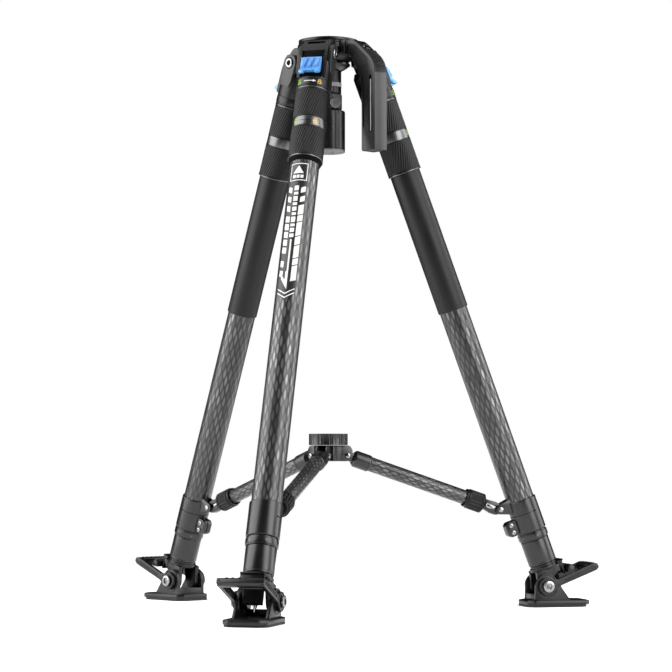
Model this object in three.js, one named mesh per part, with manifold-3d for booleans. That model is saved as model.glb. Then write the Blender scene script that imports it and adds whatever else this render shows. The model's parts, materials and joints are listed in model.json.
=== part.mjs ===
// Video tripod with three twist-lock legs, a mid-level spreader and a 75 mm half-ball levelling head.
// Millimetres, +Z up. The tripod is built about its own vertical axis with the ground at zero. It is moved at
// the end, so that the middle of its box is over the origin.
import * as THREE from 'three';
import { mergeVertices } from 'three/addons/utils/BufferGeometryUtils.js';
import Module from 'manifold-3d';

const wasm = await Module();
wasm.setup();

// ---------------------------------------------------------------- driving dimensions
const LEGS = [
  { name: 'front', azimuth: -90, covered: false },
  { name: 'right', azimuth: 30, covered: true },
  { name: 'left', azimuth: 150, covered: true },
];
const LEG_LEAN = 20.17; // degrees from vertical
const HINGE = { radius: 54, height: 772 };
const FOOT_PIVOT = { radius: 313, height: 29.5 };
const ARM_SLOPE = 18.85; // degrees below horizontal, outwards
const HUB_PIVOT = { radius: 26, height: 214.5 };
const COLLAR_PIVOT = { radius: 250, height: 138 };

const GAP = 0.3; // between pieces that touch
const OVER = 1; // how far a cut runs past the face that it opens
const THROUGH = 40; // half the length of a cut right through a piece
const ROUND = 20; // sides of a tube
const FINE = 10; // sides of a small pin or boss
const HEAD = 12; // sides of a bolt head
const BOWL_SIDES = 24; // sides of the bowl and its ball

// Distances down the leg from its hinge
const CASTING = { top: 12.2, shoulder: 19, bottom: 61.6, r: 24.5, topR: 21 };
const UPPER_LOCK = { top: 62.4, bottom: 107.4 };
const BAND = { top: 107.7, bottom: 120.9, r: 23.5 };
const LOWER_LOCK = { top: 121.2, bottom: 166.7 };
const LOCK_R = 23.7;
const COVER = { top: 167, bottom: 373.5, r: 21.7 };
const OUTER_TUBE = { top: 61.9, bottom: 706.9, r: 20, bore: 18.2 };
const COLLAR = { top: 660, bottom: 707.3, r: 21.4 };
const EAR_RISE = 8; // the collar's ear above and below the spreader's pivot
const EAR_DROP = 14;
const CLAMP = { half: 8, split: 0.8, slit: 679.5, slitEnd: 6, root: 15 };
const MIDDLE_TUBE = { top: 190, r: 17.8, bore: 16 };
const STOP_RING = { top: 708.5, bottom: 719.5, r: 21.75 };
const LOWER_TUBE = { top: 200, r: 15.6, bore: 13.8 };
const FERRULE = { top: 720, bottom: 756.2, r: 20.25 };
const END_CAP = { top: 756.6, bottom: 766, r: 20.5 };
const LIP = { inner: 19.5, outer: 23.8, half: 9, top: 757, bottom: 780 }; // latch of the end cap
const SPIKE = { root: 788, tip: 805.8, r: 4.8, bossR: 7, top: 780 };

const LUG_HALF = 19.5; // half width of the crown's hinge lugs
const LUG_NOSE_R = 11;
const EAR = { inner: 20, outer: 25, r: 12.5 };
const HINGE_BOLT = { shank: 5, head: 7.4, headThickness: 2.2 };
const TAB = { top: 17, bottom: 44, half: 15, play: 0.6 };
const POCKET = { floor: 20.2, bottom: 47.6, half: TAB.half + TAB.play };
const SHROUD_HALF = 19.8;

const BALL = { centre: 798.5, r: 37.5, top: 800.5, flat: 765, chamfer: 0.8 };
const BOWL = { bore: 38.3, r: 42, rim: 799.5, hole: 18.5 };
const CUP = { bore: 42.8, r: 46, hole: 16.5, rimAngle: 40 };
const STEM = { r: 18.5, neck: 16.5, dish: 46.6, bottom: 725, bore: 6.4, boreEnd: 734 };
const SHAFT = { r: 6, bottom: 740 }; // under the half-ball, down into the stem
const STUD = { r: 4.75, top: 804.5, tipR: 1.5, tip: 807 };
const BLOCK = { r: 21.5, top: 722, bottom: 699.4, sides: 6, turn: -10 };
const WHEEL = { r: 8, side: 9, height: 709, inner: 15, outer: 23, turn: 20 };
const GRIP = { r: 23.5, bottom: 640.4 };

const HANDLE = { azimuth: -30, half: 11.5, inner: 78, outer: 105, bottom: 635 };
const BOSS = { inner: 36, outer: 45.5, half: 9, bottom: 774, top: 791 }; // seat of the handle on the crown
const HANDLE_SLOT = { radius: 95, half: 2, top: 736, bottom: 663 };
const HUB = { r: 17.5, bottom: 206.7, top: 228.9, root: 10, shoulder: 222 };
const KNOB = { r: 27.5, bottom: 229.3, top: 245.2, sides: 36 };
const KNOB_GROOVE = { count: 10, first: 4, depth: 1.6, half: 1.6 };
const CLEVIS = { inner: 5.6, outer: 9, r: 7, pin: 2.5, pinSides: 12 };
const TONGUE = { half: 5.2, r: 6.3 };
const SLEEVE = { start: 9.5, end: 35.5, r: 11.75 };
const ARM_TUBE = { r: 10.25, bore: 8.75, end: 185.7, boreStart: 105.7 };
const ARM_LOCK = { near: 25, far: 54, r: 14, bore: 12.25, floor: 2.5, rodHole: 7.1 };
const FORK = { half: 5.2, height: 8, length: 24.4, rod: 6.5, rodEnd: 96 };
const FORK_SLOT = { near: 6, far: 20, r: 2.5 };

const PAD = { length: 93, width: 60, centre: 18.5, sole: 3.2, top: 9.3, corner: 9 };
const FOOT_EAR = { inner: 20, outer: 25, r: 17, front: 34, setBack: 2 };
const YOKE = { inner: 12.5, half: 19.2, front: 18, back: 19, r: 11.5, waist: [4, -776] };
const LEVER = { inner: 25.4, outer: 31.4, r: 13 };
const FOOT_BOLT = { shank: 4, head: 8, inner: 31.7, outer: 35.7 };

// Outlines as [x, z] points. On a leg, x points away from the tripod and z up the leg from its hinge.
const LEG_EAR_FOOT = [
  [-11.6, -27],
  [-8, -37.5],
  [8, -37.5],
  [11.6, -27],
];
const LEG_SHROUD = [
  [12.6, 9],
  [13.8, 10],
  [17.2, -2.9],
  [18.8, -12],
  [18.8, -47],
  [12.6, -47],
];
const TAB_OUTLINE = [
  [20.8, -TAB.top],
  [25.4, -TAB.top],
  [26.4, -36],
  [29.9, -41],
  [29.9, -TAB.bottom],
  [25.6, -TAB.bottom],
  [20.8, -39],
];
const CLAMP_LUG = [
  [-CLAMP.root, -684],
  [-34, -686],
  [-36, -690],
  [-36, -702],
  [-32, -706],
  [-CLAMP.root, -706],
];
// On the foot lever, from the foot's pivot
const LEVER_ARM = [
  [18.7, 12.9],
  [69.6, 32.9],
  [74.5, 29.5],
  [75.5, 24.8],
  [71.4, 19.2],
  [17, -1.6],
];
const LEVER_NECK = [
  [6, 11.5],
  [22, 14.2],
  [22, 0.4],
  [10, -8],
];
const LEVER_END_BAR = [
  [64, 30.7],
  [69.6, 32.9],
  [74.5, 29.5],
  [75.5, 24.8],
  [71.4, 19.2],
  [66, 17.1],
];
const LEVER_HOOK_BAR = [
  [36, 17.5],
  [45, 21],
  [45, 27],
  [37.4, 28.5],
];
// On the head, x is the radius and z the height above the ground
const CROWN_LUG_TOP = [
  [33, 793.5],
  [50, 793.5],
  [60.2, 784.4],
];
const CROWN_LUG_ROOT = [
  [39, 766.8],
  [33, 777],
];
const HANDLE_OUTLINE = [
  [46, 792],
  [66, 790.5],
  [71, 786],
  [95.4, 765.5],
  [101, 758],
  [HANDLE.outer, 747.6],
  [HANDLE.outer, HANDLE.bottom],
  [HANDLE.inner, HANDLE.bottom],
  [HANDLE.inner, 728.7],
  [74, 742],
  [64.2, 758],
  [57, 768],
  [46, 773],
];

const rad = THREE.MathUtils.degToRad;

// ---------------------------------------------------------------- solids
function signedVolume(positions, index) {
  const a = new THREE.Vector3();
  const b = new THREE.Vector3();
  const c = new THREE.Vector3();
  let sum = 0;
  for (let i = 0; i < index.length; i += 3) {
    a.fromArray(positions, index[i] * 3);
    b.fromArray(positions, index[i + 1] * 3);
    c.fromArray(positions, index[i + 2] * 3);
    sum += a.dot(b.cross(c));
  }
  return sum;
}

// A three.js geometry as a manifold solid: shared vertices merged, slivers dropped, faces out.
function solid(geometry) {
  geometry.deleteAttribute('normal');
  geometry.deleteAttribute('uv');
  const merged = mergeVertices(geometry, 1e-4);
  const positions = merged.attributes.position.array;
  const source = merged.index.array;
  const index = [];
  for (let i = 0; i < source.length; i += 3) {
    const [a, b, c] = [source[i], source[i + 1], source[i + 2]];
    if (a !== b && b !== c && c !== a) index.push(a, b, c);
  }
  if (signedVolume(positions, index) < 0) {
    for (let i = 0; i < index.length; i += 3) [index[i], index[i + 1]] = [index[i + 1], index[i]];
  }
  const mesh = new wasm.Mesh({
    numProp: 3,
    vertProperties: new Float32Array(positions),
    triVerts: new Uint32Array(index),
  });
  return new wasm.Manifold(mesh);
}

function join(...parts) {
  return parts.reduce((sum, part) => sum.add(part));
}

function cut(body, ...tools) {
  return tools.reduce((left, tool) => left.subtract(tool), body);
}

// Closed profile of [radius, height] points turned about Z
function revolve(profile, sides = ROUND) {
  const points = profile.map(([r, z]) => new THREE.Vector2(r, z));
  points.push(points[0].clone());
  const geometry = new THREE.LatheGeometry(points, sides);
  geometry.rotateX(Math.PI / 2);
  return solid(geometry);
}

function ring(bore, r, low, high, sides = ROUND) {
  return revolve([[bore, low], [r, low], [r, high], [bore, high]], sides);
}

function rod(r, low, high, sides = ROUND) {
  const geometry = new THREE.CylinderGeometry(r, r, high - low, sides);
  geometry.rotateX(Math.PI / 2);
  geometry.translate(0, 0, (low + high) / 2);
  return solid(geometry);
}

// Round bar along Y through (x, z)
function crossRod(r, x, z, yMin, yMax, sides = FINE) {
  const geometry = new THREE.CylinderGeometry(r, r, yMax - yMin, sides);
  geometry.translate(x, (yMin + yMax) / 2, z);
  return solid(geometry);
}

// Hole right through a piece along Y at (x, z), with running clearance round a pin
function crossHole(pinR, x, z, sides = FINE) {
  return crossRod(pinR + GAP, x, z, -THROUGH, THROUGH, sides);
}

// Round bar along X about the X axis
function axialRod(r, xMin, xMax, sides = ROUND) {
  const geometry = new THREE.CylinderGeometry(r, r, xMax - xMin, sides);
  geometry.rotateZ(Math.PI / 2);
  geometry.translate((xMin + xMax) / 2, 0, 0);
  return solid(geometry);
}

function box([x0, y0, z0], [x1, y1, z1]) {
  const geometry = new THREE.BoxGeometry(x1 - x0, y1 - y0, z1 - z0);
  geometry.translate((x0 + x1) / 2, (y0 + y1) / 2, (z0 + z1) / 2);
  return solid(geometry);
}

// Outline of [x, z] points extruded along Y
function plate(outline, yMin, yMax) {
  const shape = new THREE.Shape(outline.map(([x, z]) => new THREE.Vector2(x, z)));
  const geometry = new THREE.ExtrudeGeometry(shape, { depth: yMax - yMin, bevelEnabled: false });
  geometry.rotateX(Math.PI / 2);
  geometry.translate(0, yMax, 0);
  return solid(geometry);
}

// The same plate on both sides of the centre plane
function plates(outline, inner, outer) {
  return join(plate(outline, inner, outer), plate(outline, -outer, -inner));
}

// Points on an arc, angles in degrees
function arc(x, z, r, from, to, steps = 10) {
  const points = [];
  for (let i = 0; i <= steps; i += 1) {
    const angle = rad(from + ((to - from) * i) / steps);
    points.push([x + r * Math.cos(angle), z + r * Math.sin(angle)]);
  }
  return points;
}

function roundedSlab(xMin, xMax, half, corner, low, high) {
  const outline = [
    ...arc(xMax - corner, half - corner, corner, 0, 90, 4),
    ...arc(xMin + corner, half - corner, corner, 90, 180, 4),
    ...arc(xMin + corner, corner - half, corner, 180, 270, 4),
    ...arc(xMax - corner, corner - half, corner, 270, 360, 4),
  ];
  const shape = new THREE.Shape(outline.map(([x, y]) => new THREE.Vector2(x, y)));
  const geometry = new THREE.ExtrudeGeometry(shape, { depth: high - low, bevelEnabled: false });
  geometry.translate(0, 0, low);
  return solid(geometry);
}

// ---------------------------------------------------------------- materials
function finish(color, roughness, metalness) {
  return new THREE.MeshStandardMaterial({ color, roughness, metalness });
}

const blackAluminium = () => finish(0x1c1c1e, 0.42, 0.8);
const carbonTube = () => finish(0x35363a, 0.35, 0.3);
const knurledAluminium = () => finish(0x232325, 0.55, 0.6);
const blackCover = () => finish(0x18181a, 0.6, 0.1);
const chrome = () => finish(0xd8d8dc, 0.12, 1);
const blueTab = () => finish(0x5aa5e6, 0.4, 0.2);
const rubber = () => finish(0x161616, 0.9, 0);

// ------------------------------------------------------------ leg pieces, hinge at the origin, leg along -Z
function legTop() {
  const earOutline = [...arc(0, 0, EAR.r, 0, 180, 8), ...LEG_EAR_FOOT];
  const barrel = revolve([
    [0, -CASTING.bottom],
    [CASTING.r, -CASTING.bottom],
    [CASTING.r, -CASTING.shoulder],
    [CASTING.topR, -CASTING.top],
    [0, -CASTING.top],
  ]);
  const { floor, bottom, half } = POCKET;
  const pocket = box([floor, -half, -bottom], [THROUGH, half, TAB.play - TAB.top]);
  const boltHole = crossHole(HINGE_BOLT.shank, 0, 0);
  const shroud = plate(LEG_SHROUD, -SHROUD_HALF, SHROUD_HALF);
  const body = join(barrel, plates(earOutline, EAR.inner, EAR.outer), shroud);
  return cut(body, pocket, boltHole);
}

function hingeBolt() {
  const { shank, head, headThickness } = HINGE_BOLT;
  const seat = EAR.outer + GAP;
  return join(
    crossRod(shank, 0, 0, -seat - OVER, seat + OVER),
    crossRod(head, 0, 0, seat, seat + headThickness, HEAD),
    crossRod(head, 0, 0, -seat - headThickness, -seat, HEAD),
  );
}

function angleTab() {
  return plate(TAB_OUTLINE, -TAB.half, TAB.half);
}

function lock({ top, bottom }) {
  return ring(OUTER_TUBE.r + GAP, LOCK_R, -bottom, -top);
}

function legCover() {
  return ring(OUTER_TUBE.r + GAP, COVER.r, -COVER.bottom, -COVER.top);
}

function outerTube() {
  const { top, bottom, r, bore } = OUTER_TUBE;
  return revolve([
    [bore, -bottom],
    [r, -bottom],
    [r, -BAND.bottom],
    [BAND.r, -BAND.bottom],
    [BAND.r, -BAND.top],
    [r, -BAND.top],
    [r, -top],
    [bore, -top],
  ]);
}

function spreaderCollar() {
  const pivot = collarPivotOnLeg();
  const ear = [
    [-CLAMP.root, pivot.z + EAR_RISE],
    ...arc(pivot.x, pivot.z, CLEVIS.r, 90, 270, 8),
    [-CLAMP.root, pivot.z - EAR_DROP],
  ];
  const { half, split, slit, slitEnd, root } = CLAMP;
  const wall = rod(COLLAR.r, -COLLAR.bottom, -COLLAR.top);
  const tubeBore = rod(OUTER_TUBE.r + GAP, -COLLAR.bottom - OVER, -COLLAR.top + THROUGH);
  const clampSplit = box([-THROUGH, -split, -COLLAR.bottom - OVER], [-root, split, -slit]);
  const ringSplit = box([-THROUGH, -THROUGH, -slit - OVER], [slitEnd, THROUGH, -slit]);
  const pinHole = crossHole(CLEVIS.pin, pivot.x, pivot.z);
  const body = join(wall, plates(ear, CLEVIS.inner, CLEVIS.outer), plate(CLAMP_LUG, -half, half));
  return cut(body, tubeBore, clampSplit, ringSplit, pinHole);
}

function middleTube() {
  const { top, r, bore } = MIDDLE_TUBE;
  return revolve([
    [bore, -STOP_RING.bottom],
    [STOP_RING.r, -STOP_RING.bottom],
    [STOP_RING.r, -STOP_RING.top],
    [r, -STOP_RING.top],
    [r, -top],
    [bore, -top],
  ]);
}

function lowerTube() {
  const { top, r, bore } = LOWER_TUBE;
  return revolve([
    [0, -FERRULE.bottom],
    [FERRULE.r, -FERRULE.bottom],
    [FERRULE.r, -FERRULE.top],
    [r, -FERRULE.top],
    [r, -top],
    [bore, -top],
    [bore, -FERRULE.top],
    [0, -FERRULE.top],
  ]);
}

// End cap under the lowest section: a flange, two yoke plates to the foot pivot, a hook lip and the spike
function spikeHead() {
  const pivot = footPivotOnLeg();
  const web = [
    [YOKE.front, -END_CAP.bottom + OVER],
    [-YOKE.back, -END_CAP.bottom + OVER],
    ...arc(pivot.x, pivot.z, YOKE.r, 170, 350, 8),
    YOKE.waist,
  ];
  const flange = rod(END_CAP.r, -END_CAP.bottom, -END_CAP.top);
  const lip = box([LIP.inner, -LIP.half, -LIP.bottom], [LIP.outer, LIP.half, -LIP.top]);
  const boss = rod(SPIKE.bossR, -SPIKE.root, -END_CAP.bottom + OVER, FINE);
  const spike = revolve([
    [0, -SPIKE.tip],
    [SPIKE.r, -SPIKE.root - OVER],
    [SPIKE.r, -SPIKE.top],
    [0, -SPIKE.top],
  ], FINE);
  const boltHole = crossHole(FOOT_BOLT.shank, pivot.x, pivot.z);
  return cut(join(flange, plates(web, YOKE.inner, YOKE.half), lip, boss, spike), boltHole);
}

// A point of the leg's radial plane, given as radius and height, in the leg's own frame
function onLeg({ radius, height }) {
  const dr = radius - HINGE.radius;
  const dz = height - HINGE.height;
  const lean = rad(LEG_LEAN);
  return {
    x: dr * Math.cos(lean) + dz * Math.sin(lean),
    z: -dr * Math.sin(lean) + dz * Math.cos(lean),
  };
}

const collarPivotOnLeg = () => onLeg(COLLAR_PIVOT);
const footPivotOnLeg = () => onLeg(FOOT_PIVOT);

// ---------------------------------------------------------------- foot pieces, foot pivot at the origin
const GROUND = -FOOT_PIVOT.height;
const PAD_MIN = PAD.centre - PAD.length / 2;
const PAD_MAX = PAD.centre + PAD.length / 2;

function footSole() {
  return roundedSlab(PAD_MIN, PAD_MAX, PAD.width / 2, PAD.corner, GROUND, GROUND + PAD.sole);
}

function footBase() {
  const top = GROUND + PAD.top;
  const slab = roundedSlab(PAD_MIN, PAD_MAX, PAD.width / 2, PAD.corner, GROUND + PAD.sole + GAP, top);
  const ear = [
    [PAD_MIN + FOOT_EAR.setBack, top - OVER],
    [FOOT_EAR.front, top - OVER],
    ...arc(0, 0, FOOT_EAR.r, 35, 150, 10),
  ];
  const hole = crossHole(FOOT_BOLT.shank, 0, 0);
  return cut(join(slab, plates(ear, FOOT_EAR.inner, FOOT_EAR.outer)), hole);
}

// U-shaped pedal: two side arms from the bolt, an end bar and a hook bar behind the lip
function footLever() {
  const hub = arc(0, 0, LEVER.r, 15, 375, 16).slice(0, -1);
  const outlines = [hub, LEVER_NECK, LEVER_ARM];
  const side = (yMin, yMax) => join(...outlines.map((outline) => plate(outline, yMin, yMax)));
  const hole = crossHole(FOOT_BOLT.shank, 0, 0);
  const arms = join(side(LEVER.inner, LEVER.outer), side(-LEVER.outer, -LEVER.inner));
  const bars = [LEVER_END_BAR, LEVER_HOOK_BAR];
  const crossBars = bars.map((outline) => plate(outline, -LEVER.outer, LEVER.outer));
  return cut(join(arms, ...crossBars), hole);
}

function footBolt() {
  const { shank, head, inner, outer } = FOOT_BOLT;
  return join(
    crossRod(shank, 0, 0, -inner - OVER, inner + OVER),
    crossRod(head, 0, 0, inner, outer, HEAD),
    crossRod(head, 0, 0, -outer, -inner, HEAD),
  );
}

// ---------------------------------------------------------------- spreader pieces
// Pin through a clevis, flush with the ears' outer faces and a little proud of them
function clevisPin() {
  const end = CLEVIS.outer + 2 * GAP;
  return crossRod(CLEVIS.pin, 0, 0, -end, end, CLEVIS.pinSides);
}

// Hub end at the origin, arm along +X
function armTube() {
  const root = SLEEVE.start + OVER;
  const tongueOutline = [[root, TONGUE.r], ...arc(0, 0, TONGUE.r, 90, 270, 8), [root, -TONGUE.r]];
  const tongue = plate(tongueOutline, -TONGUE.half, TONGUE.half);
  const sleeve = axialRod(SLEEVE.r, SLEEVE.start, SLEEVE.end);
  const tube = axialRod(ARM_TUBE.r, SLEEVE.end - OVER, ARM_TUBE.end);
  const bore = axialRod(ARM_TUBE.bore, ARM_TUBE.boreStart, ARM_TUBE.end + OVER);
  return cut(join(tongue, clevisPin(), sleeve, tube), bore);
}

// Collar end at the origin, hub towards -X
function armFork() {
  const { half, height, length, rod: rodR, rodEnd } = FORK;
  const outline = [[-length, height], ...arc(0, 0, height, 90, -90, 10), [-length, -height]];
  const slotOutline = [
    ...arc(-FORK_SLOT.near, 0, FORK_SLOT.r, -90, 90, 5),
    ...arc(-FORK_SLOT.far, 0, FORK_SLOT.r, 90, 270, 5),
  ];
  const tongue = cut(plate(outline, -half, half), plate(slotOutline, -THROUGH, THROUGH));
  return join(tongue, clevisPin(), axialRod(rodR, -rodEnd, -length + OVER, FINE));
}

function armLock() {
  const { near, far, r, bore, floor, rodHole } = ARM_LOCK;
  const body = axialRod(r, -far, -near);
  const tubeHole = axialRod(bore, -far - OVER, -near - floor);
  return cut(body, tubeHole, axialRod(rodHole, -far, -near + OVER, FINE));
}

function spreaderHub() {
  const x = HUB_PIVOT.radius;
  const z = HUB_PIVOT.height;
  const ear = [
    [HUB.root, HUB.bottom],
    ...arc(x, z, CLEVIS.r, -80, 0, 6),
    [x + CLEVIS.r, HUB.shoulder],
    [x, HUB.top],
    [HUB.root, HUB.top],
  ];
  const hole = crossHole(CLEVIS.pin, x, z, CLEVIS.pinSides);
  const clevis = cut(plates(ear, CLEVIS.inner, CLEVIS.outer), hole);
  const core = rod(HUB.r, HUB.bottom, HUB.top);
  return join(core, ...LEGS.map(({ azimuth }) => clevis.rotate([0, 0, azimuth])));
}

function hubKnob() {
  const { count, first, depth, half } = KNOB_GROOVE;
  const low = [KNOB.r - depth, -half, KNOB.bottom - OVER];
  const groove = box(low, [KNOB.r + OVER, half, KNOB.top + OVER]);
  const turns = Array.from({ length: count }, (_, i) => first + (360 * i) / count);
  const grooves = turns.map((turn) => groove.rotate([0, 0, turn]));
  return cut(rod(KNOB.r, KNOB.bottom, KNOB.top, KNOB.sides), ...grooves);
}

// ---------------------------------------------------------------- head pieces, on the tripod's axis
function sphereArc(r, from, to, steps = 10) {
  return arc(0, BALL.centre, r, from, to, steps);
}

const polarOf = (r, radius) => THREE.MathUtils.radToDeg(Math.asin(radius / r)) - 90;

function crown() {
  const shell = revolve([
    ...sphereArc(BOWL.r, polarOf(BOWL.r, BOWL.hole), 0, 5),
    [BOWL.r, BOWL.rim],
    [BOWL.bore, BOWL.rim],
    ...sphereArc(BOWL.bore, 0, polarOf(BOWL.bore, BOWL.hole), 5),
  ], BOWL_SIDES);
  const lugNose = arc(HINGE.radius, HINGE.height, LUG_NOSE_R, 60, -130, 8);
  const lug = plate([...CROWN_LUG_TOP, ...lugNose, ...CROWN_LUG_ROOT], -LUG_HALF, LUG_HALF);
  const hinge = crossHole(HINGE_BOLT.shank, HINGE.radius, HINGE.height);
  const handleBoss = box([BOSS.inner, -BOSS.half, BOSS.bottom], [BOSS.outer, BOSS.half, BOSS.top]);
  const lugs = LEGS.map(({ azimuth }) => cut(lug, hinge).rotate([0, 0, azimuth]));
  const over = BOWL.rim + THROUGH;
  const inside = revolve([
    [0, BALL.centre - BOWL.bore],
    ...sphereArc(BOWL.bore, -90, 0, 8),
    [BOWL.bore, over],
    [0, over],
  ], BOWL_SIDES);
  const outside = join(handleBoss.rotate([0, 0, HANDLE.azimuth]), ...lugs);
  return join(cut(outside, inside), shell);
}

function carryHandle() {
  const { radius, half, top, bottom } = HANDLE_SLOT;
  const slot = [
    ...arc(radius, top, half, 0, 180, 6),
    ...arc(radius, bottom, half, 180, 360, 6),
  ];
  const bar = plate(HANDLE_OUTLINE, -HANDLE.half, HANDLE.half);
  return cut(bar, plate(slot, -THROUGH, THROUGH));
}

function clampCup() {
  const rim = CUP.rimAngle - 90;
  return revolve([
    ...sphereArc(CUP.r, polarOf(CUP.r, CUP.hole), rim, 3),
    ...sphereArc(CUP.bore, rim, polarOf(CUP.bore, CUP.hole), 3),
  ]);
}

function bowlAdapter() {
  const flatR = Math.sqrt(BALL.r ** 2 - (BALL.centre - BALL.flat) ** 2);
  return revolve([
    [0, SHAFT.bottom],
    [SHAFT.r, SHAFT.bottom],
    [SHAFT.r, BALL.flat],
    [flatR, BALL.flat],
    ...sphereArc(BALL.r, polarOf(BALL.r, flatR), 0, 6).slice(1),
    [BALL.r - BALL.chamfer, BALL.top],
    [STUD.r, BALL.top],
    [STUD.r, STUD.top],
    [STUD.tipR, STUD.top],
    [STUD.tipR, STUD.tip],
    [0, STUD.tip],
  ], BOWL_SIDES);
}

function levelGrip() {
  const body = revolve([
    [0, GRIP.bottom],
    [GRIP.r, GRIP.bottom],
    [GRIP.r, BLOCK.bottom],
    [STEM.neck, BLOCK.bottom],
    [STEM.neck, STEM.bottom],
    [STEM.r, STEM.bottom],
    ...sphereArc(STEM.dish, polarOf(STEM.dish, STEM.r), polarOf(STEM.dish, STEM.bore), 4),
    [STEM.bore, STEM.boreEnd],
    [0, STEM.boreEnd],
  ]);
  const block = rod(BLOCK.r, BLOCK.bottom - OVER, BLOCK.top, BLOCK.sides).rotate([0, 0, BLOCK.turn]);
  const wheel = crossRod(WHEEL.r, WHEEL.side, WHEEL.height, -WHEEL.outer, -WHEEL.inner, HEAD);
  return join(body, block, wheel.rotate([0, 0, WHEEL.turn]));
}

// ---------------------------------------------------------------- assembly
function addPiece(group, name, body, material) {
  const { vertProperties, triVerts } = body.getMesh();
  const geometry = new THREE.BufferGeometry();
  geometry.setAttribute('position', new THREE.BufferAttribute(vertProperties, 3));
  geometry.setIndex(new THREE.BufferAttribute(triVerts, 1));
  geometry.computeVertexNormals();
  const mesh = new THREE.Mesh(geometry, material);
  mesh.name = name;
  group.add(mesh);
}

// A frame in a leg's radial plane: its origin at a radius and height, pitched about the tangent
function frameAt(parent, { radius, height }, pitch = 0) {
  const group = new THREE.Group();
  group.position.set(radius, 0, height);
  group.rotation.y = rad(pitch);
  parent.add(group);
  return group;
}

function addLeg(tripod, { name, azimuth, covered }) {
  const sector = new THREE.Group();
  sector.rotation.z = rad(azimuth);
  tripod.add(sector);

  const leg = frameAt(sector, HINGE, -LEG_LEAN);
  addPiece(leg, `leg_top_${name}`, legTop(), blackAluminium());
  addPiece(leg, `hinge_bolt_${name}`, hingeBolt(), chrome());
  addPiece(leg, `angle_tab_${name}`, angleTab(), blueTab());
  addPiece(leg, `upper_lock_${name}`, lock(UPPER_LOCK), knurledAluminium());
  addPiece(leg, `lower_lock_${name}`, lock(LOWER_LOCK), knurledAluminium());
  addPiece(leg, `outer_tube_${name}`, outerTube(), carbonTube());
  if (covered) addPiece(leg, `leg_cover_${name}`, legCover(), blackCover());
  addPiece(leg, `spreader_collar_${name}`, spreaderCollar(), blackAluminium());
  addPiece(leg, `middle_tube_${name}`, middleTube(), blackAluminium());
  addPiece(leg, `lower_tube_${name}`, lowerTube(), blackAluminium());
  addPiece(leg, `spike_head_${name}`, spikeHead(), blackAluminium());

  const foot = frameAt(sector, FOOT_PIVOT);
  addPiece(foot, `foot_base_${name}`, footBase(), blackAluminium());
  addPiece(foot, `foot_sole_${name}`, footSole(), rubber());
  addPiece(foot, `foot_lever_${name}`, footLever(), blackAluminium());
  addPiece(foot, `foot_bolt_${name}`, footBolt(), chrome());

  addPiece(frameAt(sector, HUB_PIVOT, ARM_SLOPE), `arm_tube_${name}`, armTube(), carbonTube());
  const collarEnd = frameAt(sector, COLLAR_PIVOT, ARM_SLOPE);
  addPiece(collarEnd, `arm_fork_${name}`, armFork(), blackAluminium());
  addPiece(collarEnd, `arm_lock_${name}`, armLock(), knurledAluminium());
}

function addHead(tripod) {
  addPiece(tripod, 'crown', crown(), blackAluminium());
  addPiece(tripod, 'clamp_cup', clampCup(), blackAluminium());
  addPiece(tripod, 'bowl_adapter', bowlAdapter(), blackAluminium());
  addPiece(tripod, 'level_grip', levelGrip(), blackAluminium());
  addPiece(tripod, 'spreader_hub', spreaderHub(), blackAluminium());
  addPiece(tripod, 'hub_knob', hubKnob(), blackAluminium());
  const sector = new THREE.Group();
  sector.rotation.z = rad(HANDLE.azimuth);
  tripod.add(sector);
  addPiece(sector, 'carry_handle', carryHandle(), blackAluminium());
}

const tripod = new THREE.Group();
addHead(tripod);
LEGS.forEach((leg) => addLeg(tripod, leg));

// The row frame's origin is under the middle of the tripod's box, on the ground
const bounds = new THREE.Box3().setFromObject(tripod, true);
const middle = bounds.getCenter(new THREE.Vector3());
tripod.position.set(-middle.x, -middle.y, 0);
tripod.updateMatrixWorld(true);

export default tripod;
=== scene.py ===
"""Looks of a video tripod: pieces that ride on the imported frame's bodies, their materials and the studio.

Shapes are drawn in millimetres in the frame of the piece they belong to, and become meshes in metres.
A leg's frame has its origin at the hinge, x outwards, y along the hinge and z up the leg, so the distance
s down the leg is -z. A foot's frame has its origin at the foot bolt, x outwards and z up. An arm's frame has
its origin at one of its pivots and x along the arm, outwards. The head's heights are above the ground.
"""
import json
import math
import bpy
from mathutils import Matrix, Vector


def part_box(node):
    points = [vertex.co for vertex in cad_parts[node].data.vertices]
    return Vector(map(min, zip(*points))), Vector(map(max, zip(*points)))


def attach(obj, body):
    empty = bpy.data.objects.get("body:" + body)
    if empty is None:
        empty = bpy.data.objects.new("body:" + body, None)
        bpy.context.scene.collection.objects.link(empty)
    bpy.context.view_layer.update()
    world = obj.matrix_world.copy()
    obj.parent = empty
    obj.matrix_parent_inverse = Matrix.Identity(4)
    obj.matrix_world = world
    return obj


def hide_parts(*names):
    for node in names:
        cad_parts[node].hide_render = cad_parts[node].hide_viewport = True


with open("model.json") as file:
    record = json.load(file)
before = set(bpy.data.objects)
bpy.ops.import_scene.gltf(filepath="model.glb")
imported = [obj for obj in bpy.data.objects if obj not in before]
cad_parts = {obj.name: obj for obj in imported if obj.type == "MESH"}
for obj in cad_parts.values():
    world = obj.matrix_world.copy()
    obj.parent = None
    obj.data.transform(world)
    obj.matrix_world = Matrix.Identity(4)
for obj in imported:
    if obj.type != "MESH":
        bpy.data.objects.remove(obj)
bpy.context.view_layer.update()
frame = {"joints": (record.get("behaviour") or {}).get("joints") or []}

from types import SimpleNamespace as Sizes

import bmesh
import bpy
from mathutils import Matrix, Vector

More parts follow.
